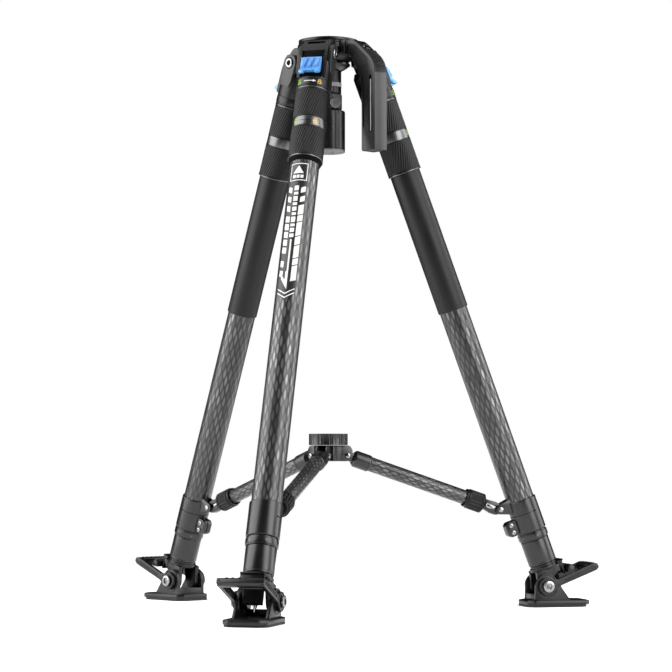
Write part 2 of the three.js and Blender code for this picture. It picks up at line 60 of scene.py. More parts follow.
# ---------------------------------------------------------------- driving dimensions, in millimetres
MM = 0.001
SIDES = 96  # round a tube
SMALL_SIDES = 40  # round a screw or pin
SHARP_ANGLE = 32  # degrees, above which an edge stays sharp
LEG_NAMES = ("front", "right", "left")
COVERED_LEGS = ("right", "left")
LEG_AZIMUTHS = {"front": -90, "right": 30, "left": 150}

# Distances down the leg from the hinge: each piece has a top, a bottom and a radius
CASTING = Sizes(top=12.2, bottom=61.4, r=24.5, marks=54.3)
SILVER_RINGS = ((61.6, 63.2), (165.8, 167.4))
UPPER_LOCK = Sizes(top=63.4, bottom=107.4)
BAND = Sizes(top=107.7, bottom=120.9, r=23.7)
LOWER_LOCK = Sizes(top=121.2, bottom=165.6)
LOCK_R = 23.9
LOCK_GROOVES = 44
LOCK_TWIST = 0.0125  # radians of groove twist for each millimetre down the leg
TUBE = Sizes(r=20, top=62, bottom=662)
COVER = Sizes(top=167.4, bottom=373.5, r=21.7)
COLLAR = Sizes(top=660, bottom=707.3, r=22)
STOP_RING = Sizes(top=708, bottom=719.6, r=21.7)
MIDDLE_TUBE = Sizes(top=190, bottom=708.2, r=17.8)
FERRULE = Sizes(top=720, bottom=756.2, r=20.25)
LOWER_TUBE = Sizes(top=200, bottom=721, r=15.6)
END_CAP = Sizes(top=756.6, bottom=766, r=20.6)
EAR = Sizes(inner=20, outer=25, r=12.5)
POCKET_HALF = 15.5
BALL = Sizes(centre=798.5, r=37.5, flat=765, top=800.5)
BOWL = Sizes(inner=38.3, outer=41.6, hole=18.5)
RIM = Sizes(r=42, top=799.5, bottom=795)
CUP = Sizes(inner=42.9, outer=46, hole=16.5)
STEM = Sizes(r=18.2, bore=6.4, dish=46.6)
GRIP = Sizes(r=23.5, top=698, bottom=644)
WHEEL = Sizes(x=9, height=709, azimuth=20)
HANDLE = Sizes(azimuth=-30, half=11.5)  # half its width
HANDLE_SLOT = Sizes(x=95.5, r=2, top=738, bottom=662)
# The curved part of the handle's outer face, as (x, z) points
HANDLE_BACK = [(83.5, 776.2), (95.4, 766.2), (99.4, 761.4), (102.4, 756.6), (104.4, 751), (105, 744.6)]
HUB = Sizes(r=17.5, bottom=206.7, top=228.9, pivot_x=26, pivot_z=214.5)
KNOB = Sizes(r=27.5, bottom=229.4, top=245.2, grooves=10, first=4)
CLEVIS = Sizes(inner=5.6, outer=9, r=7)
# Distances along the arm: its sleeve and tube are measured from the hub's pivot, its lock and rod from the
# collar's pivot
SLEEVE_END = 35.5
ARM_TUBE = Sizes(start=35, end=185.7, r=10.25, bore=8.75)
ARM_LOCK = Sizes(near=27, far=50, r=14, bore=12.25, grooves=18)
ARM_ROD = Sizes(r=6.5, start=24, end=96)
TONGUE = Sizes(r=6.3, half=5.2)
PAD = Sizes(length=93, width=60, centre=18.5, corner=9)
YOKE = Sizes(inner=12.6, outer=19.2, r=11.8)
FOOT_EAR = Sizes(inner=20, outer=25, r=17)
LEVER = Sizes(inner=25.4, outer=31.4)
LEVER_SIDE = [(4, 11.6), (14, 9.8), (68, 32.8), (73.4, 32.4), (76.2, 27), (72.2, 22.6), (17, 0.4), (8, -10.2)]
GROUND = -29.5  # below the foot bolt
MARK = Sizes(size=5.2, around=36, lift=0.16)  # the lock pictograms, and how far the open one is raised
DECAL = Sizes(half=12.7, around=-3, ink=0.06)

joints = {joint["name"]: joint for joint in frame["joints"]}
knob_low, knob_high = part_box("hub_knob")
AXIS = Vector(((knob_low.x + knob_high.x) / 2, (knob_low.y + knob_high.y) / 2, 0))


# ---------------------------------------------------------------- frames of the pieces
def frame_from(origin, x_axis, y_axis):
    """The frame with that origin and those two axes."""
    x = Vector(x_axis).normalized()
    y = Vector(y_axis).normalized()
    turn = Matrix((x, y, x.cross(y))).transposed().to_4x4()
    return Matrix.Translation(Vector(origin)) @ turn


def leg_frame(name):
    fold = joints[f"leg_fold_{name}"]
    across = Vector(fold["axis"])
    up = -Vector(joints[f"middle_slide_{name}"]["axis"])
    return frame_from(fold["pos_m"], across.cross(up), across)


def foot_frame(name):
    swivel = joints[f"foot_swivel_{name}"]
    across = Vector(swivel["axis"])
    return frame_from(swivel["pos_m"], across.cross(Vector((0, 0, 1))), across)


def arm_frame(name, pivot):
    """The arm's frame at the pivot of that joint."""
    start = Vector(joints[f"arm_swing_{name}"]["pos_m"])
    end = Vector(joints[f"fork_swing_{name}"]["pos_m"])
    return frame_from(joints[f"{pivot}_{name}"]["pos_m"], end - start, joints[f"arm_swing_{name}"]["axis"])


def axis_frame(azimuth=0):
    return Matrix.Translation(AXIS) @ Matrix.Rotation(math.radians(azimuth), 4, "Z")


# ---------------------------------------------------------------- outlines
def arc(x, z, r, start, end, steps=10):
    """Points on a circle from one angle to another, in degrees."""
    turns = [math.radians(start + (end - start) * i / steps) for i in range(steps + 1)]
    return [(x + r * math.cos(a), z + r * math.sin(a)) for a in turns]


def softened(points, radius, steps=3):
    """The outline with its corners rounded. A point on the axis of a lathe (x = 0) keeps its corner."""
    if radius <= 0:
        return points
    result = []
    for i, point in enumerate(points):
        corner = Vector(point)
        before = Vector(points[i - 1]) - corner
        after = Vector(points[(i + 1) % len(points)]) - corner
        if abs(corner.x) < 1e-6 or before.length < 1e-6 or after.length < 1e-6:
            result.append(tuple(corner))
            continue
        reach = min(radius, 0.45 * before.length, 0.45 * after.length)
        start = corner + before.normalized() * reach
        end = corner + after.normalized() * reach
        for k in range(steps + 1):
            t = k / steps
            result.append(tuple(start * (1 - t) ** 2 + corner * 2 * t * (1 - t) + end * t * t))
    return result


def rectangle(x0, x1, z0, z1):
    return [(x0, z0), (x1, z0), (x1, z1), (x0, z1)]


# ---------------------------------------------------------------- solids, as bmeshes in millimetres
def lathe(profile, sides=SIDES):
    """A closed profile of (radius, height) points turned about z."""
    bm = bmesh.new()
    rings = []
    for r, z in profile:
        if r < 1e-6:
            rings.append([bm.verts.new((0, 0, z))])
            continue
        angles = [2 * math.pi * i / sides for i in range(sides)]
        rings.append([bm.verts.new((r * math.cos(a), r * math.sin(a), z)) for a in angles])
    for lower, upper in zip(rings, rings[1:] + rings[:1]):
        if len(lower) == 1 and len(upper) == 1:
            continue
        for i in range(sides):
            j = (i + 1) % sides
            corners = [lower[i % len(lower)], lower[j % len(lower)]]
            corners += [upper[j % len(upper)], upper[i % len(upper)]]
            bm.faces.new(list(dict.fromkeys(corners)))
    bmesh.ops.recalc_face_normals(bm, faces=bm.faces)
    return bm


def ring(bore, r, low, high, bevel=0.5, sides=SIDES):
    return lathe(softened([(bore, low), (r, low), (r, high), (bore, high)], bevel), sides)


def rod(r, low, high, bevel=0.5, sides=SIDES):
    return lathe(softened([(0, low), (r, low), (r, high), (0, high)], bevel), sides)


def prism(outline, low, high, bevel=0.6, segments=2):
    """An outline of (x, z) points extruded along y, with its two rims bevelled."""
    bm = bmesh.new()
    face = bm.faces.new([bm.verts.new((x, low, z)) for x, z in outline])
    grown = bmesh.ops.extrude_face_region(bm, geom=[face])
    moved_verts = [v for v in grown["geom"] if isinstance(v, bmesh.types.BMVert)]
    bmesh.ops.translate(bm, verts=moved_verts, vec=(0, high - low, 0))
    bmesh.ops.recalc_face_normals(bm, faces=bm.faces)
    if bevel:
        rims = [e for e in bm.edges if abs(e.verts[0].co.y - e.verts[1].co.y) < 1e-6]
        bmesh.ops.bevel(
            bm, geom=rims, offset=bevel, segments=segments, profile=0.5, affect="EDGES", clamp_overlap=True
        )
    return bm


def block(x, y, z, bevel=0.6, corner=0.8):
    """A box from three (low, high) pairs, with rounded edges."""
    return prism(softened(rectangle(*x, *z), corner), y[0], y[1], bevel)


def moved(shape, matrix):
    shape.transform(matrix)
    return shape


def shifted(shape, x=0, y=0, z=0):
    return moved(shape, Matrix.Translation((x, y, z)))


def turned(shape, axis, degrees):
    return moved(shape, Matrix.Rotation(math.radians(degrees), 4, axis))


def along_x(shape):
    return turned(shape, "Y", 90)


def along_y(shape):
    return turned(shape, "X", -90)


def upright(shape):
    """A prism along y stood up along z, with its outline's z along y."""
    swapped = moved(shape, Matrix(((1, 0, 0, 0), (0, 0, 1, 0), (0, 1, 0, 0), (0, 0, 0, 1))))
    bmesh.ops.recalc_face_normals(swapped, faces=swapped.faces)
    return swapped


def joined(*shapes):
    """The shapes in one mesh, without cutting them."""
    first, *others = shapes
    for shape in others:
        mesh = bpy.data.meshes.new("part")
        shape.to_mesh(mesh)
        first.from_mesh(mesh)
        bpy.data.meshes.remove(mesh)
        shape.free()
    return first


def copied(shape):
    return shape.copy()


def new_object(name, data):
    thing = bpy.data.objects.new(name, data)
    bpy.context.scene.collection.objects.link(thing)
    return thing


def boolean(shape, tools, operation):
    """The shape cut by the tools, or united with them."""
    made = []
    for source in (shape, *tools):
        mesh = bpy.data.meshes.new("boolean")
        source.to_mesh(mesh)
        source.free()
        made.append(new_object("boolean", mesh))
    for tool in made[1:]:
        modifier = made[0].modifiers.new("boolean", "BOOLEAN")
        modifier.operation = operation
        modifier.solver = "EXACT"
        modifier.object = tool
    bpy.context.view_layer.update()
    result = bmesh.new()
    result.from_mesh(made[0].evaluated_get(bpy.context.evaluated_depsgraph_get()).data)
    for thing in made:
        mesh = thing.data
        bpy.data.objects.remove(thing)
        bpy.data.meshes.remove(mesh)
    return result


def carved(shape, *tools):
    return boolean(shape, tools, "DIFFERENCE")


def united(shape, *others):
    return boolean(shape, others, "UNION")


def plates(outline, inner, outer, bevel=0.6, segments=2):
    """Two plates of one outline, on both sides of the centre plane, between two distances from it."""
    far_plate = prism(outline, inner, outer, bevel, segments)
    return joined(far_plate, prism(outline, -outer, -inner, bevel, segments))


def eyes(bore, r, inner, outer, bevel=0.5):
    """Two rings round the y axis, on both sides of the centre plane, between two distances from it."""
    return joined(along_y(ring(bore, r, inner, outer, bevel)), along_y(ring(bore, r, -outer, -inner, bevel)))


def both_ways(shape):
    """The shape, and a copy turned half round the z axis."""
    return joined(shape, turned(copied(shape), "Z", 180))


def fluted(r, low, high, count, depth, twist=0.0, rows=2, per_groove=8, end=1.2, phase=0.0):
    """A round body with grooves down its side, twisted round it, and plain rims at both ends."""
    bm = bmesh.new()
    columns = count * per_groove
    heights = [low, low + 0.4, low + end, low + end + 0.5]
    body = high - low - 2 * end - 1
    heights += [low + end + 0.5 + body * (i + 1) / rows for i in range(rows)]
    heights += [high - end, high - 0.4, high]
    rings = []
    for z in heights:
        at_rim = z < low + end + 0.1 or z > high - end - 0.1
        rim_cut = 0.4 if z in (low, high) else 0.0
        points = []
        for i in range(columns):
            share = i / per_groove % 1
            valley = max(0.0, math.sin(math.pi * share)) ** 2
            radius = r - rim_cut - (0 if at_rim else depth * valley)
            angle = 2 * math.pi * i / columns + twist * (z - low) + phase
            points.append(bm.verts.new((radius * math.cos(angle), radius * math.sin(angle), z)))
        rings.append(points)
    for lower, upper in zip(rings, rings[1:]):
        for i in range(columns):
            j = (i + 1) % columns
            bm.faces.new((lower[i], lower[j], upper[j], upper[i]))
    bm.faces.new(list(reversed(rings[0])))
    bm.faces.new(rings[-1])
    bmesh.ops.recalc_face_normals(bm, faces=bm.faces)
    return bm


def socket_screw(r, height, socket, low=0.0):
    """A screw head along y, from low outwards, with a hexagonal socket."""
    head = along_y(rod(r, 0, height, bevel=0.25 * height, sides=SMALL_SIDES))
    hole = along_y(rod(socket, 0.35 * height, height + 1, bevel=0, sides=6))
    return shifted(carved(head, hole), y=low)


def on_cylinder(outline, r, thickness=0.12, around=0.0, step=1.5):
    """A thin plate of (w, s) points wrapped round a leg tube: w across it, and s down the leg."""
    plate = prism(outline, 0, thickness, bevel=0)
    widths = [w for w, _ in outline]
    w = min(widths) + step
    while w < max(widths):
        everything = list(plate.verts) + list(plate.edges) + list(plate.faces)
        bmesh.ops.bisect_plane(plate, geom=everything, plane_co=(w, 0, 0), plane_no=(1, 0, 0))
        w += step
    for v in plate.verts:
        across, depth, down = v.co
        angle = across / r + math.radians(around)
        v.co = ((r + depth) * math.cos(angle), (r + depth) * math.sin(angle), -down)
    bmesh.ops.recalc_face_normals(plate, faces=plate.faces)
    return plate


# ---------------------------------------------------------------- materials
class Nodes:
    """Short ways to add and join the nodes of one material."""

    def __init__(self, name):
        self.material = bpy.data.materials.new(name)
        self.material.use_nodes = True
        self.tree = self.material.node_tree
        self.shader = self.tree.nodes["Principled BSDF"]

    def feed(self, socket, value):
        if isinstance(value, bpy.types.NodeSocket):
            self.tree.links.new(value, socket)
        else:
            socket.default_value = value

    def set(self, **values):
        """Feeds the shader's sockets: base_color stands for Base Color, and so on."""
        for name, value in values.items():
            title = {"specular": "Specular IOR Level"}.get(name, name.replace("_", " ").title())
            if title == "Base Color" and not isinstance(value, bpy.types.NodeSocket):
                value = (*value, 1)
            self.feed(self.shader.inputs[title], value)

    def math(self, operation, first, second=0.0):
        node = self.tree.nodes.new("ShaderNodeMath")
        node.operation = operation
        self.feed(node.inputs[0], first)
        self.feed(node.inputs[1], second)
        return node.outputs[0]

    def span(self, value, low, high, to_low, to_high):
        node = self.tree.nodes.new("ShaderNodeMapRange")
        for socket, given in zip(node.inputs, (value, low, high, to_low, to_high)):
            self.feed(socket, given)
        return node.outputs[0]

    def mix(self, factor, low, high):
        node = self.tree.nodes.new("ShaderNodeMix")
        node.data_type = "RGBA"
        self.feed(node.inputs["Factor"], factor)
        self.feed(node.inputs[6], (*low, 1))
        self.feed(node.inputs[7], (*high, 1))
        return node.outputs[2]

    def place(self, stretch=(1, 1, 1)):
        """Coordinates in the piece's own frame, in metres, stretched."""
        coordinates = self.tree.nodes.new("ShaderNodeTexCoord")
        mapping = self.tree.nodes.new("ShaderNodeMapping")
        mapping.inputs["Scale"].default_value = stretch
        self.tree.links.new(coordinates.outputs["Object"], mapping.inputs["Vector"])
        return mapping.outputs["Vector"]

    def noise(self, scale, detail=4.0, stretch=(1, 1, 1)):
        node = self.tree.nodes.new("ShaderNodeTexNoise")
        node.inputs["Scale"].default_value = scale
        node.inputs["Detail"].default_value = detail
        self.tree.links.new(self.place(stretch), node.inputs["Vector"])
        return node.outputs["Fac"]

    def bump(self, height, strength, distance):
        node = self.tree.nodes.new("ShaderNodeBump")
        node.inputs["Strength"].default_value = strength
        node.inputs["Distance"].default_value = distance
        self.tree.links.new(height, node.inputs["Height"])
        self.tree.links.new(node.outputs["Normal"], self.shader.inputs["Normal"])


def anodised(name, dark, light, roughness, metallic=0.25, specular=0.5):
    """Bead-blasted aluminium: a fine grain, slow shifts of tone, and faint rubbed streaks along the leg."""
    nodes = Nodes(name)
    tone = nodes.noise(60, 3)
    streaks = nodes.noise(700, 2, stretch=(1, 1, 0.03))
    grain = nodes.noise(6500, 2)
    shade = nodes.math("ADD", nodes.math("MULTIPLY", tone, 0.6), nodes.math("MULTIPLY", streaks, 0.4))
    rough = nodes.span(shade, 0.3, 0.7, roughness - 0.05, roughness + 0.06)
    nodes.set(base_color=nodes.mix(shade, dark, light), roughness=rough, metallic=metallic, specular=specular)
    nodes.bump(grain, 0.12, 0.00008)
    return nodes.material


def matte_sleeve():
    """Moulded black sleeve with a fine leathery grain."""
    nodes = Nodes("matte_sleeve")
    grain = nodes.noise(2600, 3)
    tone = nodes.noise(35, 3)
    nodes.set(base_color=nodes.mix(tone, (0.003, 0.003, 0.0033), (0.008, 0.008, 0.009)), metallic=0.0)
    nodes.set(roughness=nodes.span(tone, 0.3, 0.7, 0.42, 0.5), specular=0.3)
    nodes.bump(grain, 0.18, 0.0001)
    return nodes.material


def braided_carbon(name, columns, length, axis="Z"):
    """Glossy carbon fibre: staggered lens-shaped tows, columns of them round the tube, each that long."""
    nodes = Nodes(name)
    split = nodes.tree.nodes.new("ShaderNodeSeparateXYZ")
    nodes.tree.links.new(nodes.place(), split.inputs[0])
    x, y, z = split.outputs
    first, second, along = (x, y, z) if axis == "Z" else (y, z, x)
    turn = nodes.math("DIVIDE", nodes.math("ARCTAN2", second, first), 2 * math.pi)
    around = nodes.math("MULTIPLY", nodes.math("ADD", turn, 0.5), columns)
    column = nodes.math("FLOOR", around)
    offset = nodes.math("MULTIPLY", nodes.math("MODULO", column, 2.0), 0.5)
    down = nodes.math("ADD", nodes.math("DIVIDE", along, length), offset)
    across = nodes.math("SUBTRACT", nodes.math("FRACT", around), 0.5)
    lengthwise = nodes.math("SUBTRACT", nodes.math("FRACT", down), 0.5)
    wide = nodes.math("DIVIDE", nodes.math("ABSOLUTE", across), 0.5)
    long = nodes.math("POWER", nodes.math("DIVIDE", nodes.math("ABSOLUTE", lengthwise), 0.42), 2.0)
    lens = nodes.span(nodes.math("ADD", wide, long), 0.6, 1.0, 1.0, 0.0)
    cell = nodes.tree.nodes.new("ShaderNodeCombineXYZ")
    nodes.feed(cell.inputs[0], column)
    nodes.feed(cell.inputs[1], nodes.math("FLOOR", down))
    chance = nodes.tree.nodes.new("ShaderNodeTexWhiteNoise")
    chance.noise_dimensions = "3D"
    nodes.tree.links.new(cell.outputs[0], chance.inputs["Vector"])
    patches = nodes.noise(28, 2, stretch=(1, 1, 0.4))
    lively = nodes.math("MULTIPLY", chance.outputs["Value"], nodes.span(patches, 0.35, 0.65, 0.3, 1.0))
    bright = nodes.math("MULTIPLY", lens, nodes.span(lively, 0.0, 1.0, 0.12, 1.0))
    fibres = nodes.noise(2200, 2, stretch=(1, 1, 0.06))
    sparkle = nodes.math("MULTIPLY", bright, nodes.span(fibres, 0.3, 0.7, 0.7, 1.0))
    nodes.set(base_color=nodes.mix(sparkle, (0.007, 0.007, 0.008), (0.22, 0.22, 0.225)))
    nodes.set(metallic=nodes.span(sparkle, 0.0, 1.0, 0.1, 0.75))
    nodes.set(roughness=nodes.span(lens, 0.0, 1.0, 0.42, 0.3), coat_weight=0.35, coat_roughness=0.18)
    relief = nodes.math("ADD", nodes.math("MULTIPLY", lens, 0.8), nodes.math("MULTIPLY", fibres, 0.2))
    nodes.bump(relief, 0.25, 0.0001)
    return nodes.material


def metal(name, color, roughness, brushing, strength=0.1):
    """Bare metal with fine machining marks. brushing stretches them along the coordinate that is small."""
    nodes = Nodes(name)
    marks = nodes.noise(3000, 3, stretch=brushing)
    patches = nodes.noise(90, 2)
    darker = tuple(0.82 * c for c in color)
    nodes.set(base_color=nodes.mix(patches, darker, color), metallic=1.0)
    nodes.set(roughness=nodes.span(marks, 0.3, 0.7, roughness - 0.04, roughness + 0.08))
    nodes.bump(marks, strength, 0.00004)
    return nodes.material


def blue_anodised():
    nodes = Nodes("blue_tab_finish")
    tone = nodes.noise(240, 3)
    grain = nodes.noise(5200, 2)
    nodes.set(base_color=nodes.mix(tone, (0.06, 0.24, 0.6), (0.12, 0.38, 0.8)), metallic=0.15)
    nodes.set(roughness=nodes.span(tone, 0.3, 0.7, 0.26, 0.34), specular=0.9)
    nodes.bump(grain, 0.1, 0.00008)
    return nodes.material


def moulded_rubber():
    nodes = Nodes("sole_rubber")
    speckle = nodes.noise(1800, 4)
    tone = nodes.noise(70, 3)
    nodes.set(base_color=nodes.mix(tone, (0.004, 0.004, 0.004), (0.012, 0.012, 0.0125)), metallic=0.0)
    nodes.set(roughness=nodes.span(speckle, 0.3, 0.7, 0.6, 0.85))
    nodes.bump(speckle, 0.3, 0.0002)
    return nodes.material


def ink(name, color, roughness=0.45):
    """Screen-printed ink, with slightly uneven cover."""
    nodes = Nodes(name)
    cover = nodes.noise(900, 3)
    thinner = tuple(0.8 * c for c in color)
    nodes.set(base_color=nodes.mix(nodes.span(cover, 0.25, 0.6, 0.0, 1.0), thinner, color), metallic=0.0)
    nodes.set(roughness=nodes.span(cover, 0.3, 0.7, roughness - 0.05, roughness + 0.1))
    return nodes.material


BLACK = anodised(
    "black_anodised", (0.002, 0.002, 0.002), (0.006, 0.006, 0.0065), 0.3, metallic=0.1, specular=0.62
)
CAST = anodised(
    "cast_black", (0.002, 0.002, 0.002), (0.006, 0.006, 0.0063), 0.33, metallic=0.05, specular=0.42
)
GREY = anodised("grey_anodised", (0.02, 0.02, 0.021), (0.04, 0.04, 0.043), 0.4)
KNURL = anodised(
    "knurled_black", (0.002, 0.002, 0.0022), (0.007, 0.007, 0.0075), 0.4, metallic=0.1, specular=0.26
)
# Near-black and almost unreflective: painted shade for grooves, sockets, pockets, gaps and the throat under
# the lower lock.
RECESS_SHADE = anodised(
    "painted_recess_shade", (0.001, 0.001, 0.001), (0.004, 0.004, 0.004), 0.65, metallic=0.0, specular=0.06
)
SLEEVE = matte_sleeve()
CARBON = braided_carbon("leg_carbon", 30, 0.021)
ARM_CARBON = braided_carbon("arm_carbon", 18, 0.013, axis="X")
SATIN = anodised("satin_grey", (0.15, 0.15, 0.153), (0.24, 0.24, 0.245), 0.4)
PALE = anodised("pale_grey", (0.3, 0.3, 0.305), (0.4, 0.4, 0.41), 0.45, metallic=0.0)
SILVER = metal("turned_silver", (0.15, 0.15, 0.153), 0.3, (0.02, 0.02, 1), strength=0.2)
CHROME = metal("polished_chrome", (0.3, 0.3, 0.305), 0.14, (1, 1, 1), strength=0.04)
BLUE = blue_anodised()
RUBBER = moulded_rubber()
WHITE_INK = ink("white_ink", (0.8, 0.79, 0.77))
BLACK_INK = ink("black_ink", (0.012, 0.011, 0.011), roughness=0.38)
GREEN_INK = ink("green_ink", (0.36, 0.62, 0.04))
YELLOW_INK = ink("yellow_ink", (0.85, 0.5, 0.02))


def piece(name, shape, place, body, material, *replaced, slot=None):
    """A named piece in its place, riding on a body and standing for the CAD nodes that follow."""
    for face in shape.faces:
        face.smooth = True
    for edge in shape.edges:
        if len(edge.link_faces) == 2:
            edge.smooth = edge.calc_face_angle(0) < math.radians(SHARP_ANGLE)
    mesh = bpy.data.meshes.new(name)
    shape.to_mesh(mesh)
    shape.free()
    mesh.transform(Matrix.Scale(MM, 4))
    mesh.materials.append(material)
    thing = new_object(name, mesh)
    thing.matrix_world = place
    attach(thing, body)
    if replaced:
        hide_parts(*replaced)
    return thing


def maker(name, place, body):
    """Makes the pieces of one leg that share a place and a body. The leg's name ends all their names."""
    def make(title, shape, material, *nodes, slot=None):
        replaced = [f"{node}_{name}" for node in nodes]
        piece(f"{title}_{name}", shape, place, f"{body}_{name}", material, *replaced, slot=slot)
    return make


# ---------------------------------------------------------------- leg, from the top down
def leg_casting(name, place):
    """The casting on the hinge: a barrel with the tab's pocket cut in its front, a cowl, and two ears."""
    add = maker(name, place, "leg")
    steps = [
        (0, -CASTING.bottom), (24.2, -CASTING.bottom), (24.2, -60.4), (23.6, -60), (23.6, -59.2),
        (24.5, -58.8), (24.5, -49.8), (23.9, -49.4), (23.9, -48.6), (24.5, -48.2), (24.5, -19),
        (21, -CASTING.top), (0, -CASTING.top),
    ]
    barrel = lathe(softened(steps, 0.25, 2))
    cowl_side = [(12.7, 8.6), (14, 9.6), (17.4, -2.9), (19, -12), (19, -46), (12.7, -46)]
    cowl = prism(softened(cowl_side, 1.2), -19.8, 19.8, bevel=1.6, segments=3)
    pocket = block((17.5, 34), (-POCKET_HALF, POCKET_HALF), (-47.6, 14), bevel=0.8)
    shell = carved(united(barrel, cowl), pocket)
    add("leg_top_shell", shell, CAST, "leg_top")

    # The pocket's lining, ledge and side frames are painted shade: near-black sheets inside the pocket.
    lining = block((16.4, 17.6), (-15.4, 15.4), (-47.5, -3), bevel=0.3)
    ledge = block((17.4, 20.4), (-15.3, 15.3), (-47.4, -44.8), bevel=0.5)
    frame_sides = plates(softened(rectangle(17.4, 19.6, -47.2, -3), 0.8), 15, 15.8, bevel=0.4)
    add("tab_pocket", joined(lining, ledge, frame_sides), RECESS_SHADE)

    outline = arc(0, 0, EAR.r, 0, 180, 28) + [(-11.4, -24), (-8.4, -34), (8.4, -34), (11.4, -24)]
    ears = plates(softened(outline, 1.4, 2), EAR.inner, EAR.outer, bevel=0.9, segments=3)
    add("hinge_ears", ears, GREY)

    # Painted shade: a near-black ring on each ear's face stands for a groove round the bolt.
    grooves = eyes(7.2, 8.3, EAR.outer - 0.4, EAR.outer + 0.2, bevel=0.2)
    add("hinge_ear_groove", grooves, RECESS_SHADE)


def hinge_bolt(name, place):
    """Chrome bolt heads: a domed ring round a hexagonal socket, which is a flat near-black hexagon of painted
    shade.
    """
    face = EAR.outer
    profile = [(3.3, 0), (7.2, 0), (7.2, 1), (6.2, 2.1), (4, 2.1), (3.3, 1.4)]
    washer = along_y(lathe(softened([(r, face + rise) for r, rise in profile], 0.4)))
    # The socket is painted shade: a flat near-black hexagon inside the ring.
    core = along_y(rod(3.6, face, face + 0.9, bevel=0.3, sides=6))
    shank = along_y(rod(4.9, -face - 0.2, face + 0.2, bevel=0.3, sides=SMALL_SIDES))
    add = maker(name, place, "leg")
    heads = joined(both_ways(washer), shank)
    add("hinge_bolt_ring", heads, CHROME, "hinge_bolt")
    add("hinge_bolt_core", both_ways(core), RECESS_SHADE, slot="chrome")


def angle_tab(name, place):
    """Blue tab: three slanted ridges above a lip with a notch in its lower edge."""
    side = [
        (20.8, -17), (23.6, -17), (24.6, -33.6), (26, -35.6), (29.9, -41.2), (29.9, -44), (25.8, -44),
        (20.8, -39),
    ]
    slab = prism(softened(side, 0.5, 2), -14.6, 14.6, bevel=0.7)
    notch_outline = softened([(20, -40.6), (34, -40.6), (34, -48), (20, -48)], 0.2)
    notch = prism(notch_outline, -8.2, 8.2, bevel=0)
    tab = carved(slab, notch)
    ridge_side = softened([(23, -18), (26, -19.4), (27.4, -31.4), (25.4, -34.4), (23.4, -34.4)], 0.5, 2)
    ridges = []
    for y in (-8.8, 0, 8.8):
        ridge = prism(ridge_side, -2, 2, bevel=1.1, segments=3)
        lean = Matrix.Identity(4)
        lean[1][2] = 0.28
        ridges.append(shifted(moved(ridge, lean), y=y + 7.4))
    add = maker(name, place, "angle_tab")
    add("angle_tab_face", joined(tab, *ridges), BLUE, "angle_tab")


def twist_lock(kind, name, place, spec):
    """Lock ring with fine slanted grooves and a plain rim at each end."""
    grip = fluted(
        LOCK_R, -spec.bottom, -spec.top, LOCK_GROOVES, 0.55, twist=LOCK_TWIST, rows=16, end=1.6
    )
    hollow = rod(TUBE.r + 0.3, -spec.bottom - 1, -spec.top + 1, bevel=0)
    shape = carved(grip, hollow)
    node = f"{kind}_{name}"
    piece(f"{kind}_grip_{name}", shape, place, node, KNURL, node)


def padlock_bars(scale, lift):
    """A lock pictogram of (w, s) bars about its middle: a framed body with a shackle, raised by the lift."""
    frame_bars = [
        rectangle(-0.5, 0.5, 0.05, 0.21),
        rectangle(-0.5, 0.5, 0.59, 0.75),
        rectangle(-0.5, -0.34, 0.22, 0.58),
        rectangle(0.34, 0.5, 0.22, 0.58),
    ]
    shackle = [
        rectangle(-0.36, -0.22, -0.33 - lift, 0.04),
        rectangle(0.22, 0.36, -0.33 - lift, 0.04 - lift),
        rectangle(-0.36, 0.36, -0.48 - lift, -0.34 - lift),
    ]
    return [[(w * scale, s * scale) for w, s in bar] for bar in frame_bars + shackle]


def marks(kind, name, place, r, s, arrow_ink):
    """Open mark, arrow and locked mark, printed round the leg."""
    add = maker(name, place, "leg")
    turn = MARK.around
    kinds = (("open", -turn, GREEN_INK, MARK.lift), ("locked", turn, YELLOW_INK, 0))
    for label, around, material, lift in kinds:
        parts = []
        for bar in padlock_bars(MARK.size, lift):
            parts.append(on_cylinder([(w, s - 0.6 + down) for w, down in bar], r, 0.1, around))
        add(f"{kind}_{label}_mark", joined(*parts), material)
    arrow = [(-8, s - 0.5), (5, s - 0.5), (5, s - 1.9), (9.4, s), (5, s + 1.9), (5, s + 0.5), (-8, s + 0.5)]
    add(f"{kind}_arrow", on_cylinder(arrow, r, 0.1, 2), arrow_ink)


def lock_stack(name, place):
    """The two twist locks, the silver band and rings round them, and the printed marks."""
    add = maker(name, place, "leg")
    twist_lock("upper_lock", name, place, UPPER_LOCK)
    twist_lock("lower_lock", name, place, LOWER_LOCK)
    add("silver_band", ring(TUBE.r, BAND.r, -BAND.bottom, -BAND.top, bevel=0.4), SILVER)
    for i, (top, bottom) in enumerate(SILVER_RINGS):
        rings = ring(TUBE.r + 0.1, LOCK_R + 0.35, -bottom, -top, bevel=0.6)
        add(f"silver_ring_{i}", rings, SILVER)
    marks("casting", name, place, CASTING.r, CASTING.marks, WHITE_INK)
    marks("band", name, place, BAND.r, (BAND.top + BAND.bottom) / 2, BLACK_INK)


